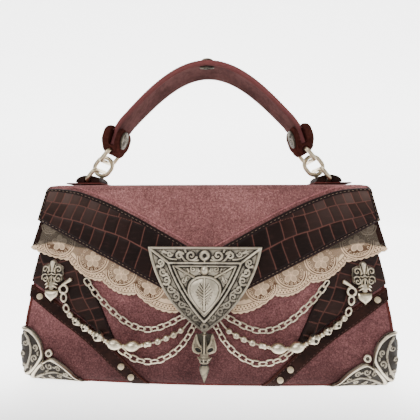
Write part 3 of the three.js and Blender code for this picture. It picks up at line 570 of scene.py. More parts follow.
def chainBuild(wires):
    path = spacedPath(wires)
    reachU = wires["Length"] - wires["Wire"]
    reachV = wires["Width"] - wires["Wire"]
    oblong = path.node("GeometryNodeCurvePrimitiveQuadrilateral", None, {"Width": reachU, "Height": reachV})
    sockets = {"Curve": oblong, "Count": 4, "Radius": reachV * 0.46}
    rounded = path.node("GeometryNodeFilletCurve", {"mode": "POLY"}, sockets)
    sockets = {"Resolution": 6, "Radius": wires["Wire"] * 0.5}
    section = path.node("GeometryNodeCurvePrimitiveCircle", None, sockets)
    link = path.node("GeometryNodeCurveToMesh", None, {"Curve": rounded, "Profile Curve": section})
    index = path.node("GeometryNodeInputIndex")
    swing = (index.math("MODULO", index, 2.0) * 2.0 - 1.0) * wires["Twist"]
    twist = path.node("FunctionNodeAxisAngleToRotation", None, {"Axis": toRight, "Angle": swing})
    settings = {"rotation_space": "LOCAL"}
    turned = path.node("FunctionNodeRotateRotation", settings, {0: turnedToPath(path), 1: twist})
    sockets = {"Points": path, "Instance": link, "Rotation": turned}
    return path.node("GeometryNodeInstanceOnPoints", None, sockets)


def stitchBuild(wires):
    path = spacedPath(wires)
    ball = path.node("GeometryNodeMeshUVSphere", None, {"Segments": 6, "Rings": 5, "Radius": 0.5})
    size = path.node("ShaderNodeCombineXYZ", None, {0: wires["Length"], 1: wires["Thick"], 2: wires["Thick"]})
    shaded = path.node("GeometryNodeSetShadeSmooth", None, {0: ball})
    sockets = {"Points": path, "Instance": shaded, "Rotation": turnedToPath(path), "Scale": size}
    return path.node("GeometryNodeInstanceOnPoints", None, sockets)


def domeBuild(wires):
    spread, rise = wires["Radius"], wires["Height"]
    ball = rise.node("GeometryNodeMeshUVSphere", None, {"Segments": 20, "Rings": 12, "Radius": 1.0})
    size = ball.node("ShaderNodeCombineXYZ", None, {0: spread, 1: rise, 2: spread})
    rim = ball.node("GeometryNodeMeshCylinder", None, {"Vertices": 24, "Radius": 1.12, "Depth": 1.0})
    sockets = {"Geometry": rim, "Rotation": (math.pi / 2, 0.0, 0.0), "Scale": (1.0, 1.0, 0.45)}
    brim = ball.node("GeometryNodeTransform", None, sockets)
    both = ball.node("GeometryNodeJoinGeometry", None, {0: ball})
    ball.tree.links.new(brim.socket, both.socket.node.inputs[0])
    shaded = ball.node("GeometryNodeSetShadeSmooth", None, {0: both})
    sockets = {"Points": wires["Geometry"], "Instance": shaded, "Scale": size}
    return ball.node("GeometryNodeInstanceOnPoints", None, sockets)


chainTree = growTree("chain", ("Pitch", "Length", "Width", "Wire", "Twist"), chainBuild)
stitchTree = growTree("stitches", ("Pitch", "Length", "Thick"), stitchBuild)
domeTree = growTree("rivet caps", ("Radius", "Height"), domeBuild)


def pathMesh(name, runs):  # a run is a line with the direction that faces out along it
    points, edges, normals = [], [], []
    for line, outward in runs:
        start = len(points)
        points += (np.asarray(line) * mm).tolist()
        normals.append(np.broadcast_to(outward, np.shape(line)))
        edges += [[start + i, start + i + 1] for i in range(len(line) - 1)]
    mesh = bpy.data.meshes.new(name)
    mesh.from_pydata(points, edges, [])
    layer = mesh.attributes.new("outward", "FLOAT_VECTOR", "POINT")
    layer.data.foreach_set("vector", np.vstack(normals).astype(np.float32).ravel())
    return mesh


def runTree(name, tree, mesh, finish, sizes):
    holder = showMesh(name, mesh)
    modifier = holder.modifiers.new("grow", "NODES")
    modifier.node_group = tree
    values = dict(sizes, Material=finishes[finish])
    for item in tree.interface.items_tree:
        if item.item_type == "SOCKET" and item.in_out == "INPUT" and item.name in values:
            modifier[item.identifier] = values[item.name]
    return bakedMesh(name, holder)


def stitchPiece(name, runs, finish, slot, pitch, length, thick):
    sizes = {"Pitch": pitch * mm, "Length": length * mm, "Thick": thick * mm}
    grown = runTree(name, stitchTree, pathMesh(name, runs), finish, sizes)
    return placePiece(name, grown, None, slot)


# Camera, floor and light
cameraSizes = {
    "place": (11.13, -252.85, 129.5), "aim": (2.3, 0.0, 129.5), "lens": 25.714, "sensor": 36.0, "near": 5.0,
}
stageSizes = {"floor": -0.2, "front": -3000, "back": 1500, "curve": 900, "height": 4000, "halfWidth": 4000}
lamps = [
    {"name": "key", "place": (-500, -900, 900), "size": 900, "watts": 10},
    {"name": "fill", "place": (900, -800, 350), "size": 900, "watts": 4},
    {"name": "top", "place": (0, 100, 1200), "size": 1100, "watts": 6},
]
skyLight = {"aim": (0, 0, 120), "colour": (1.0, 0.99, 0.97, 1.0), "strength": 0.35}


def aimed(name, data, place, aim):
    made = bpy.data.objects.new(name, data)
    made.location = Vector(place) * mm
    made.rotation_euler = (Vector(aim) - Vector(place)).to_track_quat("-Z", "Y").to_euler()
    bpy.context.scene.collection.objects.link(made)
    return made


def makeCamera():
    c = cameraSizes
    data = bpy.data.cameras.new("camera")
    data.lens = c["lens"]
    data.sensor_width = c["sensor"]
    data.clip_start = c["near"] * mm
    bpy.context.scene.camera = aimed("camera", data, c["place"], c["aim"])


def makeStage():
    s = stageSizes
    turn = np.linspace(0, math.pi / 2, 16)
    y = np.concatenate([[s["front"]], s["back"] + s["curve"] * np.sin(turn), [s["back"] + s["curve"]]])
    z = np.concatenate([[0], s["curve"] * (1 - np.cos(turn)), [s["height"]]]) + s["floor"]
    x = np.array([-s["halfWidth"], s["halfWidth"]])
    grid = spots(x[None, :], y[:, None], z[:, None])
    faces = gridFaces(np.arange(2 * len(y)).reshape(-1, 2))
    mesh = bpy.data.meshes.new("floor")
    mesh.from_pydata((grid.reshape(-1, 3) * mm).tolist(), [], faces.tolist())
    mesh.shade_smooth()
    mesh.materials.append(finishes["floor"])
    showMesh("floor", mesh)


def makeLights():
    for row in lamps:
        data = bpy.data.lights.new(row["name"], "AREA")
        data.shape = "DISK"
        data.size = row["size"] * mm
        data.energy = row["watts"]
        aimed(row["name"], data, row["place"], skyLight["aim"])
    world = bpy.data.worlds.new("studio")
    world.use_nodes = True
    sky = world.node_tree.nodes["Background"]
    sky.inputs["Color"].default_value = skyLight["colour"]
    sky.inputs["Strength"].default_value = skyLight["strength"]
    bpy.context.scene.world = world


makeCamera()
makeStage()
makeLights()
print("camera, floor and light ready")


# The leather body
bodySizes = {
    "wall": 2.2, "bow": 6.0, "corner": 6.0, "rim": 141.4, "lip": 0.5, "lipRise": 0.6, "seamAt": 3.3,
    "baseSeam": 1.4, "seamBlend": 0.8,
}
bodySections = [  # height, half width, half depth
    (0, 126, 29.5), (2.5, 133, 34), (8, 137, 36.6), (18, 138.5, 37.5), (40, 138, 36.7), (68, 134, 34.5),
    (105, 127.5, 30.5), (141.4, 121, 25.9),
]
bodyLevels = {
    "outside": [0, 0.5, 1.2, 2.5, 4, 6, 8, 11, 14.5, 18, 23, 29, 40, 50, 59, 68, 80, 92, 105, 117, 129],
    "inside": [120, 92, 68, 40, 14, 6, 2.4],
}


def halfWidthAt(z):
    return curveAt(bodySections, z)


def frontY(x, z):
    return bodySizes["bow"] * np.minimum(1, (x / halfWidthAt(z)) ** 2) - curveAt(bodySections, z, 2)


def cornerPoint(z, turn, out, sign=1, face=1):  # on the rounded upright corner, turned away from the front
    corner = bodySizes["corner"]
    reach = halfWidthAt(z) - corner
    middle = frontY(reach, z) + corner
    x = reach + (corner + out) * np.sin(turn)
    return spots(sign * x, face * (middle - (corner + out) * np.cos(turn)), z)


def bodyRing(z, inset):
    corner = bodySizes["corner"]
    reach = float(halfWidthAt(z)) - corner
    x = np.linspace(0, reach, 22)
    front = spots(x, frontY(x, z) + inset, z)
    arc = cornerPoint(np.full(7, z), np.radians(np.linspace(12, 90, 7)), -inset)
    middle = float(frontY(reach, z)) + corner
    side = spots(reach + corner - inset, np.linspace(middle, 0, 6)[1:], z)
    quarter = np.vstack([front, arc, side])
    half = np.vstack([quarter, quarter[-2::-1] * [1, -1, 1]])
    return np.vstack([half, half[-2:0:-1] * [-1, 1, 1]])


def makeBody():
    s = bodySizes
    lip = s["rim"] - s["lip"]
    rings = [bodyRing(z, 0) for z in bodyLevels["outside"] + [lip]]
    for turn in np.radians([30, 60, 90, 120, 150]):
        inset = s["wall"] / 2 * (1 - math.cos(turn))
        rings.append(bodyRing(s["rim"], inset) + [0, 0, s["lipRise"] * math.sin(turn) - s["lip"]])
    rings += [bodyRing(z, s["wall"]) for z in [lip] + bodyLevels["inside"]]
    points, faces = loftPart(rings)
    side = np.abs(points[:, 0]) - halfWidthAt(points[:, 2])
    gusset = grade(side, -s["seamAt"], s["seamBlend"] - s["seamAt"])
    gusset = np.maximum(gusset, grade(points[:, 2], s["baseSeam"], s["baseSeam"] - s["seamBlend"]))
    makePiece("body", (points, faces), "suede", "suede", ["body_shell"], {"gusset": gusset})


weltSizes = {
    "radius": 1.15, "turn": 38.0, "low": 1.2, "high": 137.0, "out": 0.25, "baseX": 118.0, "baseZ": 2.0,
    "baseScale": 0.7, "baseOut": 0.1,
}


def makeWelts():
    s = weltSizes
    parts = []
    heights = np.linspace(s["low"], s["high"], 70)
    size = np.full(len(heights), s["radius"])
    size[[0, 1, -2, -1]] *= 0.5
    for sign in sides.values():
        for face in (1, -1):
            line = cornerPoint(heights, np.radians(s["turn"]), s["out"], sign, face)
            parts.append(tubePart(line, size, 8, up=toRight))
    x = np.linspace(-s["baseX"], s["baseX"], 90)
    for face in (1, -1):
        line = spots(x, face * (frontY(x, s["baseZ"]) - s["baseOut"]), s["baseZ"])
        parts.append(tubePart(line, s["radius"] * s["baseScale"], 8, up=toTop))
    makePiece("edge_welts", joinParts(parts), "redLeather", "strap_leather")


makeBody()
makeWelts()
print("body ready")


# The flap with its dark underlay
flapSizes = {
    "thickness": 2.0, "lift": 3.6, "tip": 58.0, "cornerZ": 122.0, "halfWidth": 129.2, "foldZ": 141.0,
    "foldWidth": 124.8, "topWidth": 122.4, "topZ": 148.6, "crown": 1.6, "foldDepth": 7.0, "backZ": 106.0,
    "backLift": 0.5, "backWidth": 123.0, "span": 250.0, "round": 1.2, "stitchX": 106.0, "stitchZ": 145.2,
    "trimLift": 5.75,
}


def flapEdge(x):
    s = flapSizes
    return s["tip"] + (s["cornerZ"] - s["tip"]) * np.abs(x) / s["halfWidth"]


def flapFrontY(x, z):
    s = flapSizes
    up = np.clip((z - s["foldZ"]) / (s["topZ"] - s["foldZ"]), 0, 0.999)
    return frontY(x, np.minimum(z, s["foldZ"])) + s["foldDepth"] * (1 - np.sqrt(1 - up * up))


def flapRow(part, at, across, inset):
    s = flapSizes
    turnIn = s["foldDepth"] - inset
    frontLift = s["lift"] + s["thickness"] - inset
    backLift = s["backLift"] + s["thickness"] - inset
    if part == "front":
        low = flapEdge(across * s["halfWidth"])
        z = low + (s["foldZ"] - low) * at
        x = across * (s["halfWidth"] + (s["foldWidth"] - s["halfWidth"]) * at)
        return spots(x, frontY(x, z) - frontLift, z)
    if part == "back":
        z = s["foldZ"] + (s["backZ"] - s["foldZ"]) * at
        x = across * (s["foldWidth"] + (s["backWidth"] - s["foldWidth"]) * at)
        return spots(x, backLift - frontY(x, z), z)
    if part == "top":
        x = across * s["topWidth"]
        low = frontY(x, s["foldZ"]) - frontLift + turnIn
        high = backLift - frontY(x, s["foldZ"]) - turnIn
        z = s["topZ"] - inset + s["crown"] * np.sin(math.pi * at)
        return spots(x, low + (high - low) * at, z)
    turn = math.radians(at)
    fold = 1 - math.cos(turn)
    x = across * (s["foldWidth"] + (s["topWidth"] - s["foldWidth"]) * fold)
    z = s["foldZ"] + (s["topZ"] - s["foldZ"] - inset) * math.sin(turn)
    if part == "frontBend":
        return spots(x, frontY(x, s["foldZ"]) - frontLift + turnIn * fold, z)
    return spots(x, backLift - frontY(x, s["foldZ"]) - turnIn * fold, z)


def makeFlap():
    s = flapSizes
    rows = [("front", t) for t in np.linspace(0, 1, 34)]
    rows += [("frontBend", angle) for angle in np.linspace(9, 90, 10)]
    rows += [("top", t) for t in np.linspace(0.12, 0.88, 9)]
    rows += [("backBend", angle) for angle in np.linspace(90, 0, 11)]
    rows += [("back", t) for t in np.linspace(0.12, 1, 9)]
    across = 2 * edgeSteps(84, s["span"], s["round"]) - 1
    outer, inner = (
        np.array([flapRow(part, at, across, inset) for part, at in rows]) for inset in (0, s["thickness"])
    )
    near = (1 - np.abs(across)) * s["span"] / 2
    outer = inner + (outer - inner) * roundedEdge(near, s["round"], 0.45)[None, :, None]
    hem = grade(outer[..., 2] - flapEdge(outer[..., 0]), 1.5, 1.0) * (outer[..., 1] < 0)
    edge = np.maximum(grade(near, 1.7, 1.1)[None, :], hem)
    marks = {"edge": bothSides(edge, edge)}
    makePiece("flap_cover", sheetPart(outer, inner), "flapSuede", "suede", ["flap"], marks, sharp=60)
    x = np.linspace(-s["stitchX"], s["stitchX"], 160)
    line = spots(x, flapFrontY(x, s["stitchZ"]) - s["trimLift"], s["stitchZ"])
    stitchPiece("flap_fold_stitches", [(line, toFront)], "pinkThread", "suede", 3.4, 2.2, 0.55)


layerSkip = 8  # rows of the front for each row of the hidden side


def layerPart(place, sign, u, w, lift, height, surface):
    x, z = place(*np.meshgrid(u, w))
    y = surface(x, z) - lift
    return sheetPart(spots(sign * x, y - height, z), spots(sign * x, y, z), layerSkip)


def layerRun(place, sign, u, w, lift, surface):  # a line on a layer, for stitches
    x, z = place(*np.broadcast_arrays(u, w))
    return spots(sign * x, surface(x, z) - lift, z), toFront


underlaySizes = {
    "lift": 0.4, "thickness": 1.4, "topZ": 138.0, "topWidth": 124.9, "halfWidth": 134.2, "span": 260.0,
    "drop": 40.0, "round": 0.8,
}
underlayEdge = [(0, 88), (60, 90.5), (94, 98), (124, 103), (134.2, 102)]


def underlayPlace(across, up):
    s = underlaySizes
    low = curveAt(underlayEdge, np.abs(across) * s["halfWidth"])
    return across * (s["halfWidth"] + (s["topWidth"] - s["halfWidth"]) * up), low + (s["topZ"] - low) * up


def makeUnderlay():
    s = underlaySizes
    u = 2 * edgeSteps(90, s["span"], s["round"]) - 1
    w = edgeSteps(12, s["drop"], s["round"])
    across, up = np.meshgrid(u, w)
    near = np.minimum((1 - np.abs(across)) * s["span"] / 2, up * s["drop"])
    height = s["thickness"] * roundedEdge(near, s["round"], 0.4)
    part = layerPart(underlayPlace, 1, u, w, s["lift"], height, frontY)
    makePiece("flap_lining_edge", part, "darkLeather", "dark_leather", ["flap_underlay"])


makeFlap()
makeUnderlay()
print("flap ready")


# Embossed bands and panels
def tileField(along, across, rows, columns, width):
    # distance to the nearest groove in millimetres, and a tone for each tile
    distance = np.full(along.shape, 9.0)
    tone = np.zeros(along.shape)
    rng = random.Random(7)
    for (low, high), lines in zip(rows, columns):
        inside = (across >= low) & (across < high)
        rowGap = np.minimum(across - low, high - across) * width
        tile = np.searchsorted(lines, along)
        tones = np.array([rng.random() for unused in range(len(lines) + 1)])
        left, right = (np.asarray(lines)[np.clip(tile + k, 0, len(lines) - 1)] for k in (-1, 0))
        tileGap = np.minimum(np.abs(along - left), np.abs(along - right)) * 0.9
        distance = np.where(inside, np.minimum(rowGap, tileGap), distance)
        tone = np.where(inside, tones[tile], tone)
    return distance, tone


def columnLines(seed, first, last, small, large):
    rng = random.Random(seed)
    lines = [first]
    while lines[-1] < last:
        t = (lines[-1] - first) / (last - first)
        lines.append(lines[-1] + (large + (small - large) * t) * rng.uniform(0.88, 1.12))
    return lines


def embossed(s, tiles, along, across, edgeGap):  # heights of a tiled layer, its grooves, tones and tiled part
    columns = [columnLines(seed, *tiles["spacing"]) for seed in tiles["seeds"]]
    distance, tone = tileField(along, across, tiles["rows"], columns, tiles["rowWidth"])
    tiled = grade(edgeGap, s["edge"], s["edge"] + s["tileBlend"])
    height = s["thickness"] * roundedEdge(edgeGap, s["round"], s["edgeShare"])
    height += s["emboss"] * tiled * (1 - bell(distance, s["shoulder"]))
    return height, bell(distance, s["groove"]) * tiled, tone, tiled


def crocMarks(groove, tone, bloom, tiled):
    marks = {"tone": tone, "bloom": bloom, "border": 1 - tiled}
    marks = {name: bothSides(field, field, layerSkip) for name, field in marks.items()}
    marks["grout"] = bothSides(groove, groove * 0, layerSkip)
    return marks


bandSizes = {
    "lift": 6.1, "thickness": 1.6, "margin": 0.8, "lowWidth": 128.0, "highWidth": 122.6, "length": 145.0,
    "width": 38.0, "edge": 2.85, "lean": 9.0, "emboss": 0.5, "groove": 0.27, "round": 0.8, "edgeShare": 0.35,
    "shoulder": 0.9, "tileBlend": 0.5, "seam": 0.55, "seamDepth": 0.25, "stitchOut": 0.08,
}
bandUpper = [(0, 96.4), (65, 131.3), (84, 139.3), (99, 144), (113, 145.8)]
bandGrooves = [  # along the band, the lower groove's height, the upper one's
    (0.0, 0.56, 0.99), (0.35, 0.54, 0.95), (0.56, 0.49, 0.81), (0.93, 0.3, 0.64), (1.0, 0.28, 0.62),
]
bandTiles = {  # spacing is the first and last place, then the smallest and largest tile
    "seeds": (3, 11, 23), "spacing": (-12, 160, 6.2, 14.5), "rows": [(0.0, 1.0), (1.0, 2.0), (2.0, 3.01)],
    "rowWidth": 12.0,
}
trimSizes = {"in": 1.1, "up": 2.3, "highest": 147.2, "radius": 0.62}


def bandPlace(u, w):
    s = bandSizes
    lowX = u * s["lowWidth"]
    highX = u * s["highWidth"]
    lowZ = flapEdge(lowX) + s["margin"]
    return lowX + (highX - lowX) * w, lowZ + (curveAt(bandUpper, highX) - lowZ) * w


def bandLevel(across, up):  # 0 to 1 over the lowest row of tiles, to 2 and to 3 over the others
    lower, upper = (np.interp(across, column(bandGrooves, 0), column(bandGrooves, k)) for k in (1, 2))
    middle = 1 + (up - lower) / (upper - lower)
    high = 2 + (up - upper) / (1 - upper + 1e-6)
    level = np.where(up < lower, up / lower, np.where(up < upper, middle, high))
    return level + 0.03 * np.sin(across * 23) * np.sin(level * math.pi / 3)


def makeBand(name, sign):
    s, trim = bandSizes, trimSizes
    u = 0.004 + 0.996 * edgeSteps(400, s["length"], s["round"])
    w = edgeSteps(92, s["width"], s["round"])
    across, up = np.meshgrid(u, w)
    along = across * s["length"] - s["lean"] * (0.5 - up) + 0.3 * np.sin(up * 9 + across * 9)
    edgeGap = np.minimum(np.minimum(up, 1 - up) * s["width"], (1 - across) * s["length"])
    height, groove, tone, tiled = embossed(s, bandTiles, along, bandLevel(across, up), edgeGap)
    height -= s["seamDepth"] * bell(edgeGap - s["edge"], s["seam"])
    # painted sheen: the tiles turn paler towards the band's outer end and its upper rows, where the light
    # falls
    bloom = grade(across, 0.45, 1.0) ** 1.3 * (0.12 + 0.88 * grade(up, 0.2, 0.825))
    marks = crocMarks(groove, tone, bloom, tiled)
    part = layerPart(bandPlace, sign, u, w, s["lift"], height, flapFrontY)
    makePiece("croc_strip_" + name, part, "croc", "croc_leather", ["croc_band_" + name], marks, sharp=70)
    lift = s["lift"] + s["thickness"] + s["stitchOut"]
    lines = [(np.linspace(0.03, 0.985, 220), low) for low in (0.045, 0.955)]
    lines.append((0.988, np.linspace(0.06, 0.94, 60)))
    runs = [layerRun(bandPlace, sign, along, low, lift, flapFrontY) for along, low in lines]
    stitchPiece("croc_strip_stitches_" + name, runs, "tanThread", "croc_leather", 3.1, 1.8, 0.42)
    # painted highlight: the raised trim along the band's upper edge is a paler suede than the flap
    x, z = bandPlace(np.linspace(0.02, 0.93, 200), 1.0)
    x, z = x - trim["in"], z + trim["up"]
    line = spots(sign * x, flapFrontY(x, z) - flapSizes["trimLift"], z)[z < trim["highest"]]
    makePiece("flap_trim_" + name, tubePart(line, trim["radius"], 7), "trimSuedeHighlit", "suede")


panelSizes = {
    "lift": 0.4, "thickness": 1.4, "emboss": 0.45, "groove": 0.32, "width": 50.0, "length": 52.0,
    "round": 0.7, "edgeShare": 0.4, "steps": 0.6, "edge": 1.6, "tileBlend": 0.5, "shoulder": 0.9,
    "bloom": 0.08, "grout": 0.7, "slant": 0.2,
}
panelTop = {"inner": (95.0, 96.4), "outer": (126.8, 101.0)}
panelLow = [(61.5, 25.2), (76.0, 38.4), (91.0, 49.8), (111.0, 62.8), (132.0, 75.4)]
panelTiles = {
    "seeds": (5, 17, 29, 41), "spacing": (-30, 90, 8.4, 10.4),
    "rows": [(-2.0, 8.6), (8.6, 18.4), (18.4, 29.0), (29.0, 60.0)], "rowWidth": 1.0,
}


def panelPlace(u, w):  # u runs from the inner to the outer side, w from the top down
    at = np.linspace(0, 1, len(panelLow))
    lowX, lowZ = (np.interp(u, at, column(panelLow, k)) for k in (0, 1))
    (ax, az), (bx, bz) = panelTop["inner"], panelTop["outer"]
    highX, highZ = ax + (bx - ax) * u, az + (bz - az) * u
    return highX + (lowX - highX) * w, highZ + (lowZ - highZ) * w


def makePanel(name, sign):
    s = panelSizes
    u = edgeSteps(96, s["width"], s["steps"])
    w = edgeSteps(120, s["length"], s["steps"])
    across, down = np.meshgrid(u, w)
    x, z = panelPlace(across, down)
    inner = np.array(panelTop["inner"])
    run = unit(np.array(panelLow[0]) - inner)
    along = (x - inner[0]) * run[0] + (z - inner[1]) * run[1]
    beside = (inner[1] - z) * run[0] - (inner[0] - x) * run[1]
    beside = np.abs(beside) + 0.9 * np.sin(along / 6)
    edgeGap = np.minimum(across * s["width"], np.minimum(down, 1 - down) * s["length"])
    slanted = along + s["slant"] * beside
    height, groove, tone, tiled = embossed(s, panelTiles, slanted, beside, edgeGap)
    marks = crocMarks(groove * s["grout"], tone, np.full(tone.shape, s["bloom"]), tiled)
    part = layerPart(panelPlace, sign, u, w, s["lift"], height, frontY)
    makePiece("side_panel_" + name, part, "croc", "croc_leather", ["croc_panel_" + name], marks, sharp=70)


strapSizes = {
    "lift": 0.4, "thickness": 1.6, "width": 10.5, "length": 118.0, "steps": 0.7, "round": 0.8,
    "grooveAt": 1.5, "groove": 0.35, "grooveDepth": 0.22, "stitchIn": 0.05, "stitchRows": (0.15, 0.85),
}
strapRows = [  # the upper edge's x and z, the lower edge's x and z
    (132.4, 73, 133.2, 64), (103.2, 56, 109.7, 47.7), (86.7, 45.1, 93.2, 36.8), (72, 33.4, 78.5, 25.1),
    (56.1, 18, 70.9, 18), (46.5, 8, 60.4, 8), (41.2, 2.5, 54.9, 2.5), (40.5, 1.8, 54.2, 1.8),
]


def strapPlace(u, w):
    rows = np.array(strapRows)
    reach = lengthAlong(rows[:, 2:])
    highX, highZ, lowX, lowZ = (bend(reach / reach[-1], rows[:, k], u) for k in range(4))
    return highX + (lowX - highX) * w, highZ + (lowZ - highZ) * w


def makeStrap(name, sign):
    s = strapSizes
    u = edgeSteps(150, s["length"], s["steps"])
    w = edgeSteps(16, s["width"], s["steps"])
    down = np.meshgrid(u, w)[1]
    edgeGap = np.minimum(down, 1 - down) * s["width"]
    height = s["thickness"] * roundedEdge(edgeGap, s["round"], 0.35)
    height -= s["grooveDepth"] * bell(edgeGap - s["grooveAt"], s["groove"])
    edge = grade(edgeGap, 0.9, 0.5) * 0.7
    part = layerPart(strapPlace, sign, u, w, s["lift"], height, frontY)
    marks = {"edge": bothSides(edge, edge, layerSkip)}
    nodes = ["corner_strap_" + name]
    makePiece("slant_strap_" + name, part, "darkLeather", "dark_leather", nodes, marks, sharp=70)
    lift = s["lift"] + s["thickness"] - s["stitchIn"]
    t = np.linspace(0.03, 0.97, 160)
    runs = [layerRun(strapPlace, sign, t, row, lift, frontY) for row in s["stitchRows"]]
    stitchPiece("slant_strap_stitches_" + name, runs, "redThread", "dark_leather", 3.2, 2.0, 0.4)


rivetSizes = {"radius": 2.05, "height": 1.5, "lift": 2.35}
rivetSpots = [(124.6, 64.6), (60.6, 16.4), (53.6, 8.6)]


def makeRivets():
    points, names = [], []
    for name, sign in sides.items():
        for number, (x, z) in enumerate(rivetSpots):
            points.append((sign * x, float(frontY(x, z)) - rivetSizes["lift"], z))
            names.append("rivet_{}_{}".format(name, number + 1))
    mesh = bpy.data.meshes.new("rivet_caps")
    mesh.from_pydata((np.array(points) * mm).tolist(), [], [])
    sizes = {"Radius": rivetSizes["radius"] * mm, "Height": rivetSizes["height"] * mm}
    grown = runTree("rivet_caps", domeTree, mesh, "rivet", sizes)
    placePiece("rivet_caps", grown, None, "rivet_cap", names)


for sideName, sideSign in sides.items():
    makeBand(sideName, sideSign)
    makePanel(sideName, sideSign)
    makeStrap(sideName, sideSign)
makeRivets()
print("bands, panels and straps ready")


# The lace under the flap
laceSizes = {
    "lift": 2.3, "thickness": 0.45, "tuck": 11.0, "ripple": 0.9, "taper": 0.92, "cord": 0.46, "petal": 2.75,
    "reach": 3.6, "steps": 72, "skip": 3, "under": 4.0, "archUp": 1.0, "archFlat": 0.92, "border": 9.0,
}
laceCusps = [  # x, z, depth of the lobe that follows
    (19, 57, 4.6), (50, 69.5, 4.6), (76, 78.5, 4.6), (102.5, 92.5, 1.6), (134, 101, 0),
]
laceFlowers = [  # x, z, radius of the arch round the flower
    (40.2, 73.4, 11.4), (61.7, 83.0, 11.6), (83.9, 92.6, 12.0), (111.2, 104.6, 12.6), (119.8, 116.4, 6.6),
]
laceSide = [  # z, x of the outer end
    (60, 135), (101.6, 134.2), (104, 128.6), (112, 126.6), (118.6, 125.0), (124, 123.7), (136, 121.0),
]
laceShade = [  # x, z above which the flap's shadow is painted on the lace
    (0, 150), (42, 110), (50, 96), (55, 93.4), (60, 94), (69, 97), (77, 99), (89, 100), (98, 101), (110, 104),
    (117, 104.6), (125, 102.6), (135, 101.6),
]
eyeletSizes = {"radius": 0.74, "wire": 0.2, "hole": ((0.6, -0.3), (0.6, 0.12)), "inArch": 3.3}


def laceEdge(ripple):
    t = np.linspace(0, 1, laceSizes["steps"], endpoint=False)
    lobe = np.sin(math.pi * t) ** 0.7
    wave = ripple * np.abs(np.sin(math.pi * t * 7))
    xs, zs = [], []
    for (x, z, depth), (nextX, nextZ, unused) in zip(laceCusps, laceCusps[1:]):
        xs.append(x + (nextX - x) * t)
        zs.append(z + (nextZ - z) * t - depth * lobe - wave)
    return np.append(np.concatenate(xs), nextX), np.append(np.concatenate(zs), nextZ)


def onLace(x, z, sign, out):
    return spots(sign * x, frontY(x, z) - laceSizes["lift"] - laceSizes["thickness"] - out, z)


# painted shadow of the flap: 1 above its line in laceShade, 0 below
def flapShadowOnLace(x, z):
    return np.clip(z - curveAt(laceShade, x), 0, 1)


def laceGround(name, sign):
    s = laceSizes
    edgeX, edgeZ = laceEdge(s["ripple"])
    w = np.linspace(0, 1, 60)[:, None]
    high = flapEdge(edgeX * s["taper"]) + s["tuck"]
    z = edgeZ + (high - edgeZ) * w
    x = np.minimum(edgeX * (1 + (s["taper"] - 1) * w), curveAt(laceSide, z))
    shell = np.full(x.shape, 9.0)
    for flowerX, flowerZ, arch in laceFlowers:
        shell = np.minimum(shell, np.hypot(x - flowerX, (z - flowerZ - s["archUp"]) / s["archFlat"]) - arch)
    border = np.where(z < np.interp(x, edgeX, edgeZ) + s["border"], grade(shell, 0.7, 1.2), 0.3)
    y = frontY(x, z) - s["lift"] - 0.12 * np.sin(x * 0.5) * (1 - w)
    outer = spots(sign * x, y - s["thickness"] - 0.25 * border, z)
    part = sheetPart(outer, spots(sign * x, y, z), s["skip"])
    mesh = makeMesh("lace_ground_" + name, part)
    marks = {"shade": flapShadowOnLace(x, z), "raised": border}
    addMarks(mesh, {label: bothSides(field, field, s["skip"]) for label, field in marks.items()})
    layer = mesh.uv_layers.new(name="flat")
    corner = np.zeros(len(mesh.loops), np.int32)
    mesh.loops.foreach_get("vertex_index", corner)
    layer.data.foreach_set("uv", part[0][corner][:, [0, 2]].astype(np.float32).ravel())
    return placePiece("lace_ground_" + name, mesh, "lace", "lace", ["lace_" + name])


def flowerParts(x, z, sign):
    s = laceSizes
    parts = []
    turn = circle(12)
    for angle in math.pi / 2 + circle(5):
        rings = []
        for scale, out in ((1.0, -0.1), (0.92, 0.3), (0.62, 0.55), (0.25, 0.36)):
            long = s["reach"] + s["petal"] * scale * np.cos(turn)
            wide = s["petal"] * 0.82 * scale * np.sin(turn)
            petalX = x + long * math.cos(angle) - wide * math.sin(angle)
            rings.append(onLace(petalX, z + long * math.sin(angle) + wide * math.cos(angle), sign, out))
        parts.append(loftPart(rings))

    def middle(a, b, out):
        return onLace(x + a, z + b, sign, out)

    return parts + [turnedPart(((1.0, 0), (0.9, 0.6), (0.5, 0.8)), 12, middle)]


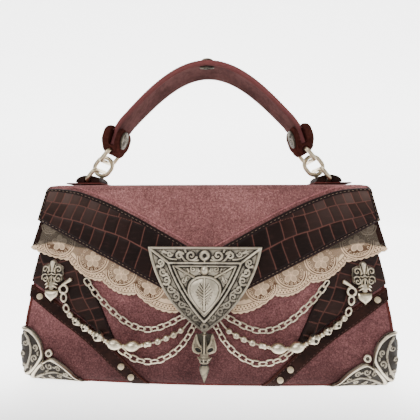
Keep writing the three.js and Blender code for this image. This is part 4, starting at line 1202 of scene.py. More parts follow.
def laceMotifs(name, sign):
    s, e = laceSizes, eyeletSizes
    edgeX, edgeZ = laceEdge(s["ripple"])
    plainX, plainZ = laceEdge(0.0)
    flowers, parts, dark, eyelets = [], [], [], []
    for x, z, arch in laceFlowers:
        flowers += flowerParts(x, z, sign)
        turn = np.radians(np.linspace(172, 368, 60))
        for reach, size in ((arch, s["cord"]), (arch - 1.7, s["cord"] * 0.8)):
            archX, archZ = x + reach * np.cos(turn), z + s["archUp"] + reach * np.sin(turn) * s["archFlat"]
            keep = (archZ < flapEdge(archX) + s["under"]) & (archX < 127)
            keep &= archZ > np.interp(archX, edgeX, edgeZ) + 0.6
            if keep.sum() > 4:
                parts.append(tubePart(onLace(archX[keep], archZ[keep], sign, 0.3), size, 6))
        for angle in np.radians(np.arange(15, 375, 20)):
            eyeX = x + (arch - e["inArch"]) * math.cos(angle)
            eyeZ = z + s["archUp"] + (arch - e["inArch"]) * math.sin(angle) * s["archFlat"]
            if eyeZ < flapEdge(eyeX) + s["under"]:
                eyelets.append((eyeX, eyeZ, 0.1))
    keep = plainX < 131
    for depth, size in ((1.0, 0.2), (5.2, 0.24)):
        dark.append(tubePart(onLace(plainX[keep], plainZ[keep] + depth, sign, 0.28), size, 5))
    spread = evenPath(np.stack([plainX, plainZ], 1), 0.2)
    for depth, step, first in ((2.3, 12, 4), (3.9, 12, 10)):
        eyelets += [(x, z + depth, 0.3) for x, z in spread[first::step]]
    for x, z, lift in eyelets:
        if not edgeX[0] < x < 130 or not np.interp(x, edgeX, edgeZ) + 1.0 < z < flapEdge(x) + s["under"]:
            continue

        def eyelet(a, b, out):
            return onLace(x + a, z + b, sign, lift + out)

        parts.append(ringPart(e["radius"], e["wire"], eyelet, 10, 5))
        dark.append(turnedPart(e["hole"], 8, eyelet))
    parts.append(tubePart(onLace(edgeX, edgeZ + 0.35, sign, 0.1), 0.4, 6))
    petal = np.concatenate([np.ones(24), np.full(24, 0.55), [1.0, 0.55]])
    flower = np.concatenate([np.tile(petal, 5), np.ones(38)])
    light = sum(len(part[0]) for part in parts)
    points, faces = joinParts(flowers + parts + dark)
    raised = np.concatenate([np.tile(flower, len(laceFlowers)), np.ones(light)])
    raised = np.pad(raised, (0, len(points) - len(raised)))
    marks = {"shade": flapShadowOnLace(np.abs(points[:, 0]), points[:, 2]), "raised": raised}
    return makePiece("lace_motifs_" + name, (points, faces), "lace", "lace", (), marks)


for sideName, sideSign in sides.items():
    ground = laceGround(sideName, sideSign)
    motifs = laceMotifs(sideName, sideSign)
print("lace ready")


# Cast relief: strokes raised on a plate
def domed(q):  # a half circle over -1 to 1
    return np.sqrt(np.clip(1 - q**2, 0, 1))


def plainStroke(path, width, height):
    return {"path": path, "width": width, "height": height}


def strokeField(x, z, strokes):
    field = np.zeros(x.shape)
    for stroke in strokes:
        path = stroke["path"]
        widths = np.broadcast_to(np.asarray(stroke["width"], float), (len(path),))
        low, high = path.min(0) - widths.max(), path.max(0) + widths.max()
        near = (x > low[0]) & (x < high[0]) & (z > low[1]) & (z < high[1])
        px, pz = x[near], z[near]
        best = np.zeros(px.shape)
        for a, b, wa, wb in zip(path[:-1], path[1:], widths[:-1], widths[1:]):
            run = b - a
            t = np.clip(((px - a[0]) * run[0] + (pz - a[1]) * run[1]) / max(run @ run, 1e-9), 0, 1)
            gap = np.hypot(px - a[0] - t * run[0], pz - a[1] - t * run[1])
            size = wa + (wb - wa) * t
            best = np.maximum(best, domed(gap / size) * size / widths.max())
        field[near] = np.maximum(field[near], best * stroke["height"])
    return field


def spiralStroke(x, z, size, start, turn, sweep, width, height):
    t = np.linspace(0, 1, 26)
    angle = np.radians(start + turn * sweep * t)
    reach = size * (1 - 0.82 * t)
    path = np.stack([x + reach * np.cos(angle), z + reach * np.sin(angle)], 1)
    return plainStroke(path, width * (1.0 - 0.35 * t), height)


def lineStroke(points, width, height, step=0.6, tapered=False):
    path = smoothPath(points, step) if len(points) > 2 else evenPath(points, step * 2)
    t = np.linspace(0, 1, len(path))
    size = np.interp(t, np.linspace(0, 1, np.size(width)), np.ravel(width))
    return plainStroke(path, size * (1 - 0.75 * t * tapered), height)


def leafStrokes(x, z, angle, length, width, height):
    strokes = []
    for spread, reach in ((0, length), (32, length * 0.8), (-32, length * 0.8)):
        tip = math.radians(angle + spread)
        bow = math.radians(angle + spread * 0.4)
        points = [(x, z)]
        for far, turn in ((0.55 * reach, bow), (reach, tip)):
            points.append((x + far * math.cos(turn), z + far * math.sin(turn)))
        strokes.append(lineStroke(points, width, height, 0.5, True))
    return strokes


def blurred(field, times):
    for unused in range(times):
        padded = np.vstack([field[:1], field, field[-1:]])
        rows = (padded[:-2] + 2 * field + padded[2:]) / 4
        field = (np.roll(rows, 1, 1) + 2 * rows + np.roll(rows, -1, 1)) / 4
    return field


def recessOf(field, times, depth):
    return np.clip((blurred(field, times) - field) / depth, 0, 1)


# The shield
shieldSizes = {
    "halfWidth": 40.6, "height": 58.9, "bendX": 33.0, "bendZ": -38.0, "middle": -27.0, "topZ": 103.4,
    "backY": -39.2, "lean": 5.46, "plate": 2.5, "rim": 1.1, "edge": 1.9, "edgeHigh": 2.6, "frameTop": -12.0,
    "frameTip": -50.5, "frameWidth": 24.6, "scrollAt": 0.805, "backSkip": 39,
}
bossSizes = {
    "z": -33.2, "halfWidth": 10.9, "halfHeight": 12.4, "low": 3.6, "rise": 2.3, "widest": 0.77,
    "rimBase": 3.4,
}
shieldCurls = [  # x, z, size, start, turn, sweep, width, height
    (9.4, -6.2, 3.9, 200, 1, 470, 0.95, 1.1), (17.8, -6.4, 2.9, 150, -1, 430, 0.8, 0.95),
    (24.6, -5.0, 2.0, 200, 1, 400, 0.65, 0.85), (13.2, -17.6, 2.3, 120, 1, 400, 0.6, 0.7),
    (8.0, -15.6, 1.8, 60, -1, 380, 0.6, 0.7), (14.2, -24.0, 1.7, 80, -1, 380, 0.55, 0.65),
]
shieldLeaves = [  # x, z, angle, length, width, height
    (13.4, -3.6, 70, 3.0, 0.7, 0.8), (27.0, -4.4, 20, 5.0, 0.8, 0.8), (2.2, -17.4, 15, 3.6, 0.8, 0.8),
    (12.6, -21.4, 280, 3.4, 0.7, 0.7),
]


def fromClasp(x, y, z):  # the clasp's own frame leans with the bag's front
    s = shieldSizes
    lean = math.radians(s["lean"])
    outY = s["backY"] + y * math.cos(lean) + z * math.sin(lean)
    return spots(x, outY, s["topZ"] - y * math.sin(lean) + z * math.cos(lean))


def shieldSide(t):  # from the top corner down to the tip
    s = shieldSizes
    x = (1 - t) ** 2 * s["halfWidth"] + 2 * t * (1 - t) * s["bendX"]
    return x, 2 * t * (1 - t) * s["bendZ"] - t * t * s["height"]


def shieldOutline(topSteps, sideSteps):
    s = shieldSizes
    across = np.linspace(-1, 1, topSteps, endpoint=False)
    top = np.stack([across * s["halfWidth"], np.zeros(topSteps)], 1)
    right = np.stack(shieldSide(np.linspace(0, 1, sideSteps, endpoint=False)), 1)
    return np.vstack([top, right, [(0, -s["height"])], right[:0:-1] * [-1, 1]])


def frameLine(grow):
    s = shieldSizes
    t = np.linspace(0, 1, 40)
    width = s["frameWidth"] + grow
    top = s["frameTop"] + grow * 0.55
    tip = s["frameTip"] - grow * 1.3
    x = (1 - t) ** 2 * width + 2 * t * (1 - t) * width * 0.62
    z = top + 2 * t * (1 - t) * (tip - top) * 0.6 + t * t * (tip - top)
    return np.vstack([[(0.0, top)], np.stack([x, z], 1)])


def frameReach(grow, z):  # half width of the frame's line at a height, -1 above and below it
    line = frameLine(grow)[1:]
    return np.interp(-z, -line[:, 1], line[:, 0], left=-1, right=-1)


def bossReach(z):
    s = bossSizes
    turn = np.arccos(np.clip((s["z"] - z) / s["halfHeight"], -1, 1))
    return s["halfWidth"] / s["widest"] * np.sin(turn) * np.sin(turn / 2)


def shieldStrokes():
    s = shieldSizes
    strokes = [spiralStroke(*row) for row in shieldCurls]
    strokes += [
        lineStroke([(4.6, -9.4), (9.0, -10.4), (14.0, -9.6), (18.0, -3.4)], 0.7, 0.9),
        lineStroke([(20.0, -9.0), (24.0, -8.6), (28.6, -6.4), (31.0, -3.6)], 0.7, 0.9, 0.5, True),
    ]
    leaves, stem = list(shieldLeaves), []
    for number, t in enumerate(np.linspace(0.1, 0.88, 8)):
        sideX, sideZ = shieldSide(t)
        x, z = sideX * s["scrollAt"], s["middle"] + (sideZ - s["middle"]) * s["scrollAt"]
        turn = 1 if number % 2 else -1
        strokes.append(spiralStroke(x, z, 3.2 - 0.9 * t, 90 + 130 * turn - 60 * t, turn, 430, 0.8, 1.0))
        stem.append((x + 1.6 * turn, z + 2.4))
        leaves.append((x - 2.2 * turn, z - 2.2, 250 - 50 * turn, 2.6, 0.6, 0.75))
    strokes.append(lineStroke(stem, 0.55, 0.7))
    for row in leaves:
        strokes += leafStrokes(*row)
    return strokes


def plateHeights(x, z, scale):
    plate = shieldSizes["plate"]
    rim = grade(scale, 0.925, 0.945) * grade(scale, 1.0, 0.982)
    height = plate + shieldSizes["rim"] * rim + 0.85 * strokeField(x, z, shieldStrokes())
    height += 0.35 * (x < frameReach(-2.9, z))
    ridges = [plainStroke(frameLine(0.6), 1.05, 2.0), plainStroke(frameLine(-2.4), 0.8, 1.6)]
    height += strokeField(x, z, ridges)
    for dotX, dotZ in evenPath(frameLine(-0.9), 1.9):
        gap = np.hypot(x - dotX, z - dotZ) / 0.75
        height = np.maximum(height, np.where(gap < 1, plate + 0.9 * domed(gap), 0))
    bars = [
        lineStroke([(39.0, -1.2), (25.4, -11.4)], 0.9, 1.5),
        lineStroke([(19.8, -14.0), (7.4, -21.2)], 0.85, 2.2),
        lineStroke([(0.0, -9.4), (0.0, -13.0)], 0.7, 1.6),
    ]
    ring = np.hypot(x, z + 6.2)
    bud = np.hypot(x / 3.0, (z + 16.4) / 3.4)
    foot = np.hypot(x, z + 54.6)
    height = np.maximum(height, plate + strokeField(x, z, bars))
    height = np.maximum(height, plate + 1.9 * domed((ring - 2.5) / 1.25))
    height = np.where(ring < 1.3, plate, height)
    height = np.maximum(height, plate + 2.9 * domed(bud))
    height = np.maximum(height, plate + 1.4 * domed(foot - 1.9))
    return np.where(foot < 1.0, plate - 0.1, height)


def raiseBoss(height, x, z):
    b = bossSizes
    up = (z - b["z"]) / b["halfHeight"]
    reach = bossReach(z)
    across = np.where(reach > 0.05, x / np.maximum(reach, 0.05), 9)
    inside = (across < 1) & (np.abs(up) < 1)
    height = np.where(inside, b["low"] + b["rise"] * domed(across) * domed(up), height)
    level = np.linspace(b["z"] - b["halfHeight"], b["z"] + b["halfHeight"], 60)
    rim = strokeField(x, z, [plainStroke(np.stack([bossReach(level), level], 1), 0.9, 1.5)])
    height = np.maximum(height, np.where(rim > 0, b["rimBase"] + rim, 0))
    rib = lineStroke([(0.0, b["z"] + 11.8), (0.0, b["z"] - 9.8)], 0.75, 0.9)
    veins = []
    for number, low in enumerate(np.linspace(b["z"] - 6.5, b["z"] + 4.5, 7)):
        spread = 5.6 - 0.9 * abs(number - 3)
        veins.append(lineStroke([(0.7, low), (spread * 0.55, low + 1.5), (spread, low + 3.4)], 0.42, 0.45))
        veins.append(lineStroke([(spread * 0.6, low + 1.6), (spread * 0.9, low + 0.8)], 0.34, 0.4))
    return height + (strokeField(x, z, [rib]) - strokeField(x, z, veins)) * inside


def makeShield():
    s = shieldSizes
    outline = shieldOutline(140, 152)
    scales = np.concatenate([np.linspace(0.01, 0.9, 96), np.linspace(0.906, 1.0, 22)])[:, None]
    x = outline[:, 0] * scales
    z = s["middle"] + (outline[:, 1] - s["middle"]) * scales
    fromMiddle = np.abs(x)
    height = raiseBoss(plateHeights(fromMiddle, z, scales), fromMiddle, z)
    height[-1] = s["edge"]
    height[-2] = np.minimum(height[-2], s["edgeHigh"])
    ground = grade(height, s["plate"] + 0.62, s["plate"])
    recess = recessOf(height, 8, 0.3) + recessOf(height, 30, 0.8) * 0.5 + ground * 0.34 + 0.08
    channel = strokeField(fromMiddle, z, [plainStroke(frameLine(-0.9), 0.8, 1.0)])
    recess = np.clip(np.clip(recess, 0, 1) + 0.75 * (channel > 0.3), 0, 1)
    recess[scales[:, 0] > 0.965] *= 0.2
    # painted shade: outside the frame the lower shield darkens towards the tip and its relief loses contrast
    shadedLow = 0.62 * (fromMiddle > frameReach(1.0, z)) * grade(z, -24, -44)
    recess = recess * (1 - shadedLow) + 0.88 * shadedLow
    hidden = slice(None, None, -s["backSkip"])
    cast = Casting()
    cast.addPlate(fromClasp(x, -height, z), fromClasp(x[hidden], 0.0, z[hidden]), recess)
    cast.place("shield_clasp", "shield", "silver", 75)


makeShield()
print("shield ready")


# The drop that swings below the shield
dropSizes = {
    "pivotY": 1.2, "pivotZ": -54.1, "eye": 2.4, "wire": 0.75, "middleY": -0.95, "half": 1.8, "flatten": 0.62,
    "middle": (0.0, -14.5), "leaves": 7, "rib": 0.7, "neck": 0.9,
}
dropHead = [
    (1.4, -6.2), (1.6, -10.0), (2.2, -14.6), (3.7, -13.0), (4.8, -10.0), (4.9, -7.6), (5.6, -5.5),
    (6.9, -8.6), (7.2, -11.6), (8.2, -14.2), (7.6, -17.0), (5.4, -18.4), (2.9, -19.4), (2.5, -21.0),
]
dropLayers = [  # inset of the head's outline, distance out, darkness
    (0.6, -1.8, 0.72), (0.0, -0.9, 0.52), (0.0, 0.9, 0.52), (0.35, 1.5, 0.42), (0.9, 1.8, 0.42),
]
dropTurned = [  # distance below the pivot, radius
    (19.4, 1.6), (20.2, 2.4), (20.9, 3.1), (21.9, 3.9), (22.6, 4.2), (23.3, 3.7), (24.0, 3.1), (24.5, 3.7),
    (25.4, 3.1), (26.0, 2.2), (26.6, 2.4), (27.7, 3.1), (28.9, 3.4), (30.1, 3.3), (31.6, 2.9), (33.8, 2.1),
    (36.2, 1.2), (38.4, 0.4),
]
dropLines = {
    "shadowWeb": [(0.6, -4.8), (2.6, -6.3), (5.0, -6.4), (5.2, -17.4), (0.6, -18.4)],
    "blade": [(5.5, -6.0), (4.9, -9.8), (3.7, -12.8), (2.2, -14.6)],
    "curl": [(5.8, -6.2), (7.0, -10.4), (7.8, -14.2), (7.2, -16.9), (5.4, -17.9), (3.4, -18.5)],
    "leaf": [(2.4, -25.0), (3.3, -23.8), (4.2, -22.6), (5.2, -21.8)],
}
dropHole = {"x": 4.2, "z": -16.3, "long": 2.7, "wide": 1.6, "slant": 28.0, "wire": 0.36}


def fromDrop(x, y, z):
    return fromClasp(x, np.asarray(y) + dropSizes["pivotY"], np.asarray(z) + dropSizes["pivotZ"])


def dropHeadPart():
    half = np.array(dropHead)
    outline = evenPath(np.vstack([half, half[::-1] * [-1, 1], half[:1]]), 0.55)[:-1]
    inward = unit(np.array(dropSizes["middle"]) - outline)
    rings = []
    for inset, out, unused in dropLayers:
        x, z = (outline + inward * inset).T
        rings.append(fromDrop(x, dropSizes["middleY"] - out, z))
    index = np.arange(len(rings) * len(outline)).reshape(len(rings), -1)
    faces = gridFaces(np.hstack([index, index[:, :1]])).tolist()
    return (np.vstack(rings), faces + [index[0].tolist(), index[-1].tolist()]), len(outline)


def addDropBody(cast):  # the turned lower half with its ring of leaves
    s = dropSizes

    def place(a, b, z):
        return fromDrop(a, s["middleY"] + b * s["flatten"], z)

    fall = np.linspace(19.4, 38.4, 60)
    wide = curveAt(dropTurned, fall)
    around = circle(28)
    mean = np.convolve(np.pad(wide, 4, "edge"), np.ones(9) / 9, "valid")
    groove = 0.22 + np.clip((mean - wide) / 0.3, 0, 0.7) + 0.4 * (np.abs(fall - 23.2) < 1.8)
    # painted shade: the lower drop is darker on its left and right flanks, over faint twisted stripes
    swirlAndSideShade = np.clip(np.sin(2 * around + 0.9 * fall[:, None]), 0, 1) * 0.2
    swirlAndSideShade = (swirlAndSideShade + 0.5 * grade(np.abs(np.cos(around)), 0.4, 0.9)) * (fall > 26.5)[:, None]
    dark = np.append((groove[:, None] + swirlAndSideShade).ravel(), [0.3, 0.3])
    cast.add(turnedPart(list(zip(wide, -fall)), 28, place), dark)
    reach, z = np.array(dropLines["leaf"]).T
    for turn in circle(s["leaves"]) + 0.1:
        line = smoothPath(place(reach * math.cos(turn), reach * math.sin(turn), z), 0.4)
        cast.add(tubePart(line, np.linspace(0.62, 0.16, len(line)), 7, up=(0.3, 0.2, 1.0)), 0.05)


def addDropFace(cast, sign):  # the scrolls, hole and flute on one half of the head
    s, hole = dropSizes, dropHole
    near = s["middleY"] - s["half"]
    for label, size in (("blade", 0.8), ("curl", 0.7)):
        x, z = np.array(dropLines[label]).T
        line = smoothPath(fromDrop(sign * x, near + 0.15, z), 0.35)
        grow = np.interp(np.linspace(0, 1, len(line)), [0, 0.4, 1], [0.3, 1, 1])
        cast.add(tubePart(line, size * grow, 8), 0.08)
    slant = math.radians(hole["slant"])
    long, wide = hole["long"] * np.cos(circle(16)), hole["wide"] * np.sin(circle(16))
    x = sign * (hole["x"] + long * math.cos(slant) - wide * math.sin(slant))
    z = hole["z"] + long * math.sin(slant) + wide * math.cos(slant)
    cast.add(loftPart([fromDrop(x, near + out, z) for out in (0.6, -0.12)]), 1.0)
    cast.add(tubePart(fromDrop(x, near - 0.05, z), hole["wire"], 8, joined=True))
    flute = fromDrop(np.full(5, sign * 1.05), near - 0.05, np.linspace(-7.0, -18.6, 5))
    cast.add(tubePart(smoothPath(flute, 0.5), 0.3, 6, up=toRight), 1.0)


def makeDrop():
    s = dropSizes
    cast = Casting()
    head, count = dropHeadPart()
    cast.add(head, np.repeat(column(dropLayers, 2), count))
    # painted shade: a dark sheet fills the gaps between the horns and the stem, where only shade lies behind
    x, z = np.array(dropLines["shadowWeb"]).T
    for sign in sides.values():
        cast.add(loftPart([fromDrop(sign * x, s["middleY"] + out, z) for out in (0.2, 1.2)]), 0.86)
    addDropBody(cast)
    for sign in sides.values():
        addDropFace(cast, sign)
    rib = fromDrop(np.zeros(5), s["middleY"] - s["half"] - 0.15, np.linspace(-6.0, -19.5, 5))
    neck = fromDrop(np.zeros(4), np.array([0.0, 0.0, -0.4, s["middleY"]]), np.array([-2.6, -4.2, -6.0, -8.0]))
    cast.add(tubePart(smoothPath(rib, 0.5), s["rib"], 8, up=toRight))
    cast.add(ringPart(s["eye"], s["wire"], lambda a, b, c: fromDrop(a, c, b)))
    cast.add(tubePart(smoothPath(neck, 0.5), s["neck"], 8, up=toRight))
    cast.place("drop", "pendant", "darkSilver", 50, body="pendant")


makeDrop()
print("drop ready")


# Chains
chainSizes = {"pitch": 4.7, "length": 6.9, "width": 4.5, "wire": 1.1, "twist": 24.0}
chainPaths = {  # x, z, lift off the front
    "upper": [
        (86.6, 76.6, 4.4), (79.4, 67.4, 3.5), (67.6, 55.8, 2.6), (57.2, 48.3, 2.6), (48.4, 44.7, 2.6),
        (39, 43.6, 2.6), (27.2, 47.2, 2.6), (14.4, 54, 2.6),
    ],
    "lower": [
        (58.8, 29.2, 5.4), (54.2, 25.2, 4.2), (47.4, 22, 3.1), (40, 20.9, 2.6), (32.8, 22, 2.6),
        (22.6, 27.6, 2.6), (14.2, 36, 2.6), (7.4, 47.4, 2.6),
    ],
}


def hangPath(rows, sign, step):
    x, z, lift = np.array(rows).T
    return smoothPath(spots(sign * x, frontY(x, z) - lift, z), step)


def makeChains():
    sizes = {key.capitalize(): value * mm for key, value in chainSizes.items()}
    sizes["Twist"] = math.radians(chainSizes["twist"])
    for name, sign in sides.items():
        for label, rows in chainPaths.items():
            node = "{}_chain_{}".format(label, name)
            mesh = pathMesh("links_" + node, [(hangPath(rows, sign, 0.8), toFront)])
            grown = runTree("links_" + node, chainTree, mesh, "chainSilver", sizes)
            grown.shade_smooth()
            placePiece("links_" + node, grown, None, "antique_silver", [node])


makeChains()
print("chains ready")


# Strands of beads
strandSizes = {
    "core": 0.55, "coreEnd": 101.0, "ringX": 105.0, "ringZ": 71.0, "ringRadius": 2.9, "wire": 0.85,
    "lift": 4.2, "linkWire": 0.72, "collar": 0.26, "collarWire": 0.34, "eye": 0.85, "eyeWire": 0.3,
    "petals": 5,
}
strandPath = [  # x, z, lift off the front
    (105, 68.2, 4.2), (103.8, 62.6, 4.4), (100.6, 55.3, 4.6), (93.3, 48.2, 4.8), (87.5, 45, 5.2),
    (77, 39.3, 6.0), (65.7, 34.4, 6.5), (52.9, 32.8, 5.6), (39.3, 34.1, 3.6), (27, 38.1, 2.8),
    (16.8, 43.7, 2.8), (10.6, 50.4, 2.6),
]
strandBar = [(105.6, 74.2), (102.4, 76.4), (98.4, 78.8)]
beadRows = [  # x, kind, radius, length
    (104.4, "link", 3.1, 7.0), (101.9, "link", 2.9, 6.4), (98.6, "round", 2.2, 4.4),
    (93.3, "pierced", 2.7, 7.0), (86.4, "pierced", 2.9, 6.2), (82.0, "tube", 1.7, 3.0),
    (76.4, "pierced", 3.7, 8.6), (70.6, "tube", 1.7, 2.4), (64.4, "olive", 3.75, 11.4),
    (57.9, "tube", 1.5, 1.8), (51.4, "olive", 3.75, 11.4), (44.6, "tube", 1.6, 2.2),
    (41, "tube", 2.4, 5.2), (33.6, "round", 2.4, 4.6), (27.6, "round", 2.3, 4.4),
    (22.2, "round", 2.4, 4.4), (17.2, "round", 2.2, 4.0),
]
beadProfiles = {  # share of the radius, share of the length; the other half mirrors it
    "round": [(0.3, -0.5), (0.62, -0.44), (0.88, -0.28), (1.0, 0.0)],
    "olive": [
        (0.24, -0.5), (0.34, -0.485), (0.36, -0.46), (0.4, -0.44), (0.56, -0.39), (0.73, -0.32),
        (0.86, -0.24), (0.95, -0.15), (0.99, -0.07), (1.0, 0.0),
    ],
    "pierced": [(0.26, -0.5), (0.5, -0.46), (0.5, -0.4), (0.72, -0.3), (0.94, -0.12), (1.0, 0.0)],
    "tube": [(0.4, -0.5), (0.8, -0.48), (1.0, -0.34), (0.82, -0.2)],
}


def beadProfile(kind, radius, length):
    half = beadProfiles[kind]
    rest = [(r, -at) for r, at in half[::-1] if at]
    return [(r * radius, at * length) for r, at in half + rest]


def addBead(cast, kind, radius, length, toPoint, front):
    s = strandSizes
    if kind == "link":
        cast.add(ringPart(radius * 0.8, s["linkWire"], lambda a, b, c: toPoint(a * 0.8, c, b * 1.2), 24, 8))
        return
    cast.add(turnedPart(beadProfile(kind, radius, length), 20, toPoint))
    for end in (-0.5, 0.5):
        collar = ringPart(
            radius * s["collar"], s["collarWire"], lambda a, b, c: toPoint(a, b, c + end * length), 14, 6
        )
        cast.add(collar, 0.2)
    if kind == "round":

        def eye(a, b, c):
            return toPoint(a, front * (radius * 0.94 + c), b)

        cast.add(ringPart(s["eye"], s["eyeWire"], eye, 14, 6))
        cast.add(turnedPart(((0.75, -0.3), (0.75, 0.05)), 10, eye), 0.9)
    if kind == "pierced":
        spin = circle(10)
        for turn in circle(s["petals"]) + math.pi / 2:
            rings = []
            for scale, lift in ((1.0, 1.02), (0.7, 1.06)):
                reach = radius * 0.98 * lift
                wide = radius * 0.36 * scale * np.cos(spin)
                a = reach * math.cos(turn) - wide * math.sin(turn)
                b = reach * math.sin(turn) + wide * math.cos(turn)
                rings.append(toPoint(a, b, length * 0.16 * scale * np.sin(spin)))
            cast.add(loftPart(rings), 1.0)


def makeStrand(name, sign):
    s = strandSizes
    line = hangPath(strandPath, sign, 0.3)
    tangent = unit(np.gradient(line, axis=0))
    cast = Casting()
    cast.add(tubePart(line[np.abs(line[:, 0]) < s["coreEnd"]][::4], s["core"], 8), 0.25)
    for x, kind, radius, length in beadRows:
        at = int(np.argmin(np.abs(sign * line[:, 0] - x)))
        along = tangent[at]
        across = unit(np.cross(toFront, along))
        out = np.cross(along, across)

        def toPoint(a, b, c):
            return line[at] + np.outer(a, across) + np.outer(b, out) + np.outer(c, along)

        addBead(cast, kind, radius, length, toPoint, 1 if out[1] < 0 else -1)
    ringY = float(frontY(s["ringX"], s["ringZ"])) - s["lift"]

    def onRing(a, b, c):
        return spots(sign * s["ringX"] + a, ringY + c, s["ringZ"] + b)

    cast.add(ringPart(s["ringRadius"], s["wire"], onRing))
    barX, barZ = np.array(strandBar).T
    bar = smoothPath(spots(sign * barX, ringY - 0.6, barZ), 0.4)
    size = np.interp(np.linspace(0, 1, len(bar)), [0, 0.5, 0.9, 1], [0.9, 1.2, 1.6, 0.8])
    cast.add(tubePart(bar, size, 10))
    cast.place("beads_" + name, "bead_strand_" + name, "chainSilver", 50)


for sideName, sideSign in sides.items():
    makeStrand(sideName, sideSign)
print("bead strands ready")


# Studs, hearts and corner guards
studSizes = {
    "x": 114.8, "z": 82.0, "halfWidth": 8.3, "halfHeight": 6.8, "lobe": 2.7, "lobeAt": 7.1, "lift": 2.3,
    "edge": 0.9, "base": 1.2, "swell": 0.9, "reach": 9.5, "backSkip": 9, "collarZ": 73.2, "collarLift": 4.0,
    "collarFlat": 0.6,
}
studCollar = [
    (1.2, 2.9), (1.9, 2.2), (1.5, 1.5), (2.6, 0.8), (2.9, 0.2), (2.4, -0.6), (1.5, -1.4), (2.0, -2.0),
    (1.1, -2.9),
]
collarLeaves = [  # x and z of the tip, z of the root
    (4.7, 0.6, 2.2), (4.2, -1.8, 0.4), (-4.7, 0.6, 2.2), (-4.2, -1.8, 0.4),
]


def studStrokes():
    return [
        lineStroke([(0.0, 1.6), (0.0, 5.0), (0.0, 8.2)], np.linspace(0.7, 1.9, 12), 1.8),
        lineStroke([(1.3, 1.6), (2.3, 4.0), (2.6, 6.0)], 0.42, 1.0),
        spiralStroke(5.2, 3.0, 3.0, 215, -1, 420, 0.62, 1.7),
        spiralStroke(5.0, -3.9, 2.3, 130, 1, 400, 0.55, 1.5),
        lineStroke([(3.8, -0.9), (5.6, -0.4), (7.6, -1.6), (7.8, -4.2)], 0.5, 1.2),
        lineStroke([(0.0, 0.4), (1.6, -0.6), (2.9, -0.2)], 0.5, 1.3),
        lineStroke([(0.0, -1.6), (0.0, -3.6), (0.0, -6.2)], 0.55, 1.4),
        lineStroke([(1.2, -2.2), (1.9, -4.0), (2.2, -6.0)], 0.4, 1.0),
    ]


def studReach(turn):  # a squarish outline with one lobe at the top
    s = studSizes
    square = ((np.sin(turn) / s["halfWidth"]) ** 4 + (np.cos(turn) / s["halfHeight"]) ** 4) ** -0.25
    side = s["lobeAt"] * np.sin(turn)
    lobe = s["lobeAt"] * np.cos(turn) + np.sqrt(np.maximum(s["lobe"] ** 2 - side**2, 0))
    lobe = np.where((np.cos(turn) > 0) & (np.abs(side) < s["lobe"]), lobe, 0)
    return np.maximum(square * (1 + 0.03 * np.cos(12 * turn)), lobe)


def makeStud(name, sign):
    s = studSizes
    turn = circle(150)
    reach = studReach(turn) * np.concatenate([np.linspace(0.02, 0.94, 46), [0.97, 1.0]])[:, None]
    across, up = reach * np.sin(turn), reach * np.cos(turn)
    leaf = strokeField(np.abs(across), up, studStrokes())
    height = s["base"] + s["swell"] * np.clip(1 - reach / s["reach"], 0, 1) + leaf
    height[-1] = s["edge"]
    recess = np.clip(recessOf(height, 4, 0.25) + grade(leaf, 0.7, 0) * 0.9 + 0.06, 0, 1)
    recess[-2:] = 0.6
    x, z = sign * (s["x"] + across), s["z"] + up
    y = frontY(x, z) - s["lift"]
    cast = Casting()
    cast.addPlate(spots(x, y - height, z), spots(x, y, z)[::-s["backSkip"]], recess)
    collarY = float(frontY(s["x"], s["collarZ"])) - s["collarLift"]

    def collar(a, b, at):
        return spots(sign * s["x"] + a, collarY + b * s["collarFlat"], s["collarZ"] + at)

    cast.add(turnedPart(studCollar, 20, collar), 0.4)
    for tipX, tipZ, root in collarLeaves:
        leafX = sign * s["x"] + np.array([0.4, 0.6, 1.0]) * tipX
        leafZ = s["collarZ"] + np.array([root, (root + tipZ) / 2 + 0.5, tipZ])
        line = smoothPath(spots(leafX, collarY - np.array([1.1, 0.9, 0.1]), leafZ), 0.4)
        cast.add(tubePart(line, np.linspace(0.95, 0.35, len(line)), 7), 0.1)
    cast.place("stud_" + name, "flower_stud_" + name, "chainSilver", 70)


heartSizes = {
    "x": 114.8, "z": 66.1, "halfWidth": 5.4, "halfHeight": 4.7, "lift": 2.9, "high": 2.7, "notch": 0.8,
    "angles": [-12, 0, 14, 28, 42, 56, 70, 82],
}


def makeHeart(name, sign):
    s = heartSizes
    turn = circle(72) + 0.01
    across = np.sin(turn) ** 3
    rise = (13 * np.cos(turn) - 5 * np.cos(2 * turn) - 2 * np.cos(3 * turn) - np.cos(4 * turn)) / 15
    rise = np.where(np.cos(turn) > 0, np.maximum(rise, s["notch"]), rise)
    rings = []
    for angle in np.radians(s["angles"]):
        x = sign * s["x"] + s["halfWidth"] * math.cos(angle) * across
        z = s["z"] + s["halfHeight"] * math.cos(angle) * rise
        rings.append(spots(x, frontY(x, z) - s["lift"] - s["high"] * math.sin(angle), z))
    nodes = ["heart_drop_" + name]
    makePiece("heart_" + name, loftPart(rings), "chainSilver", "antique_silver", nodes, sharp=60)


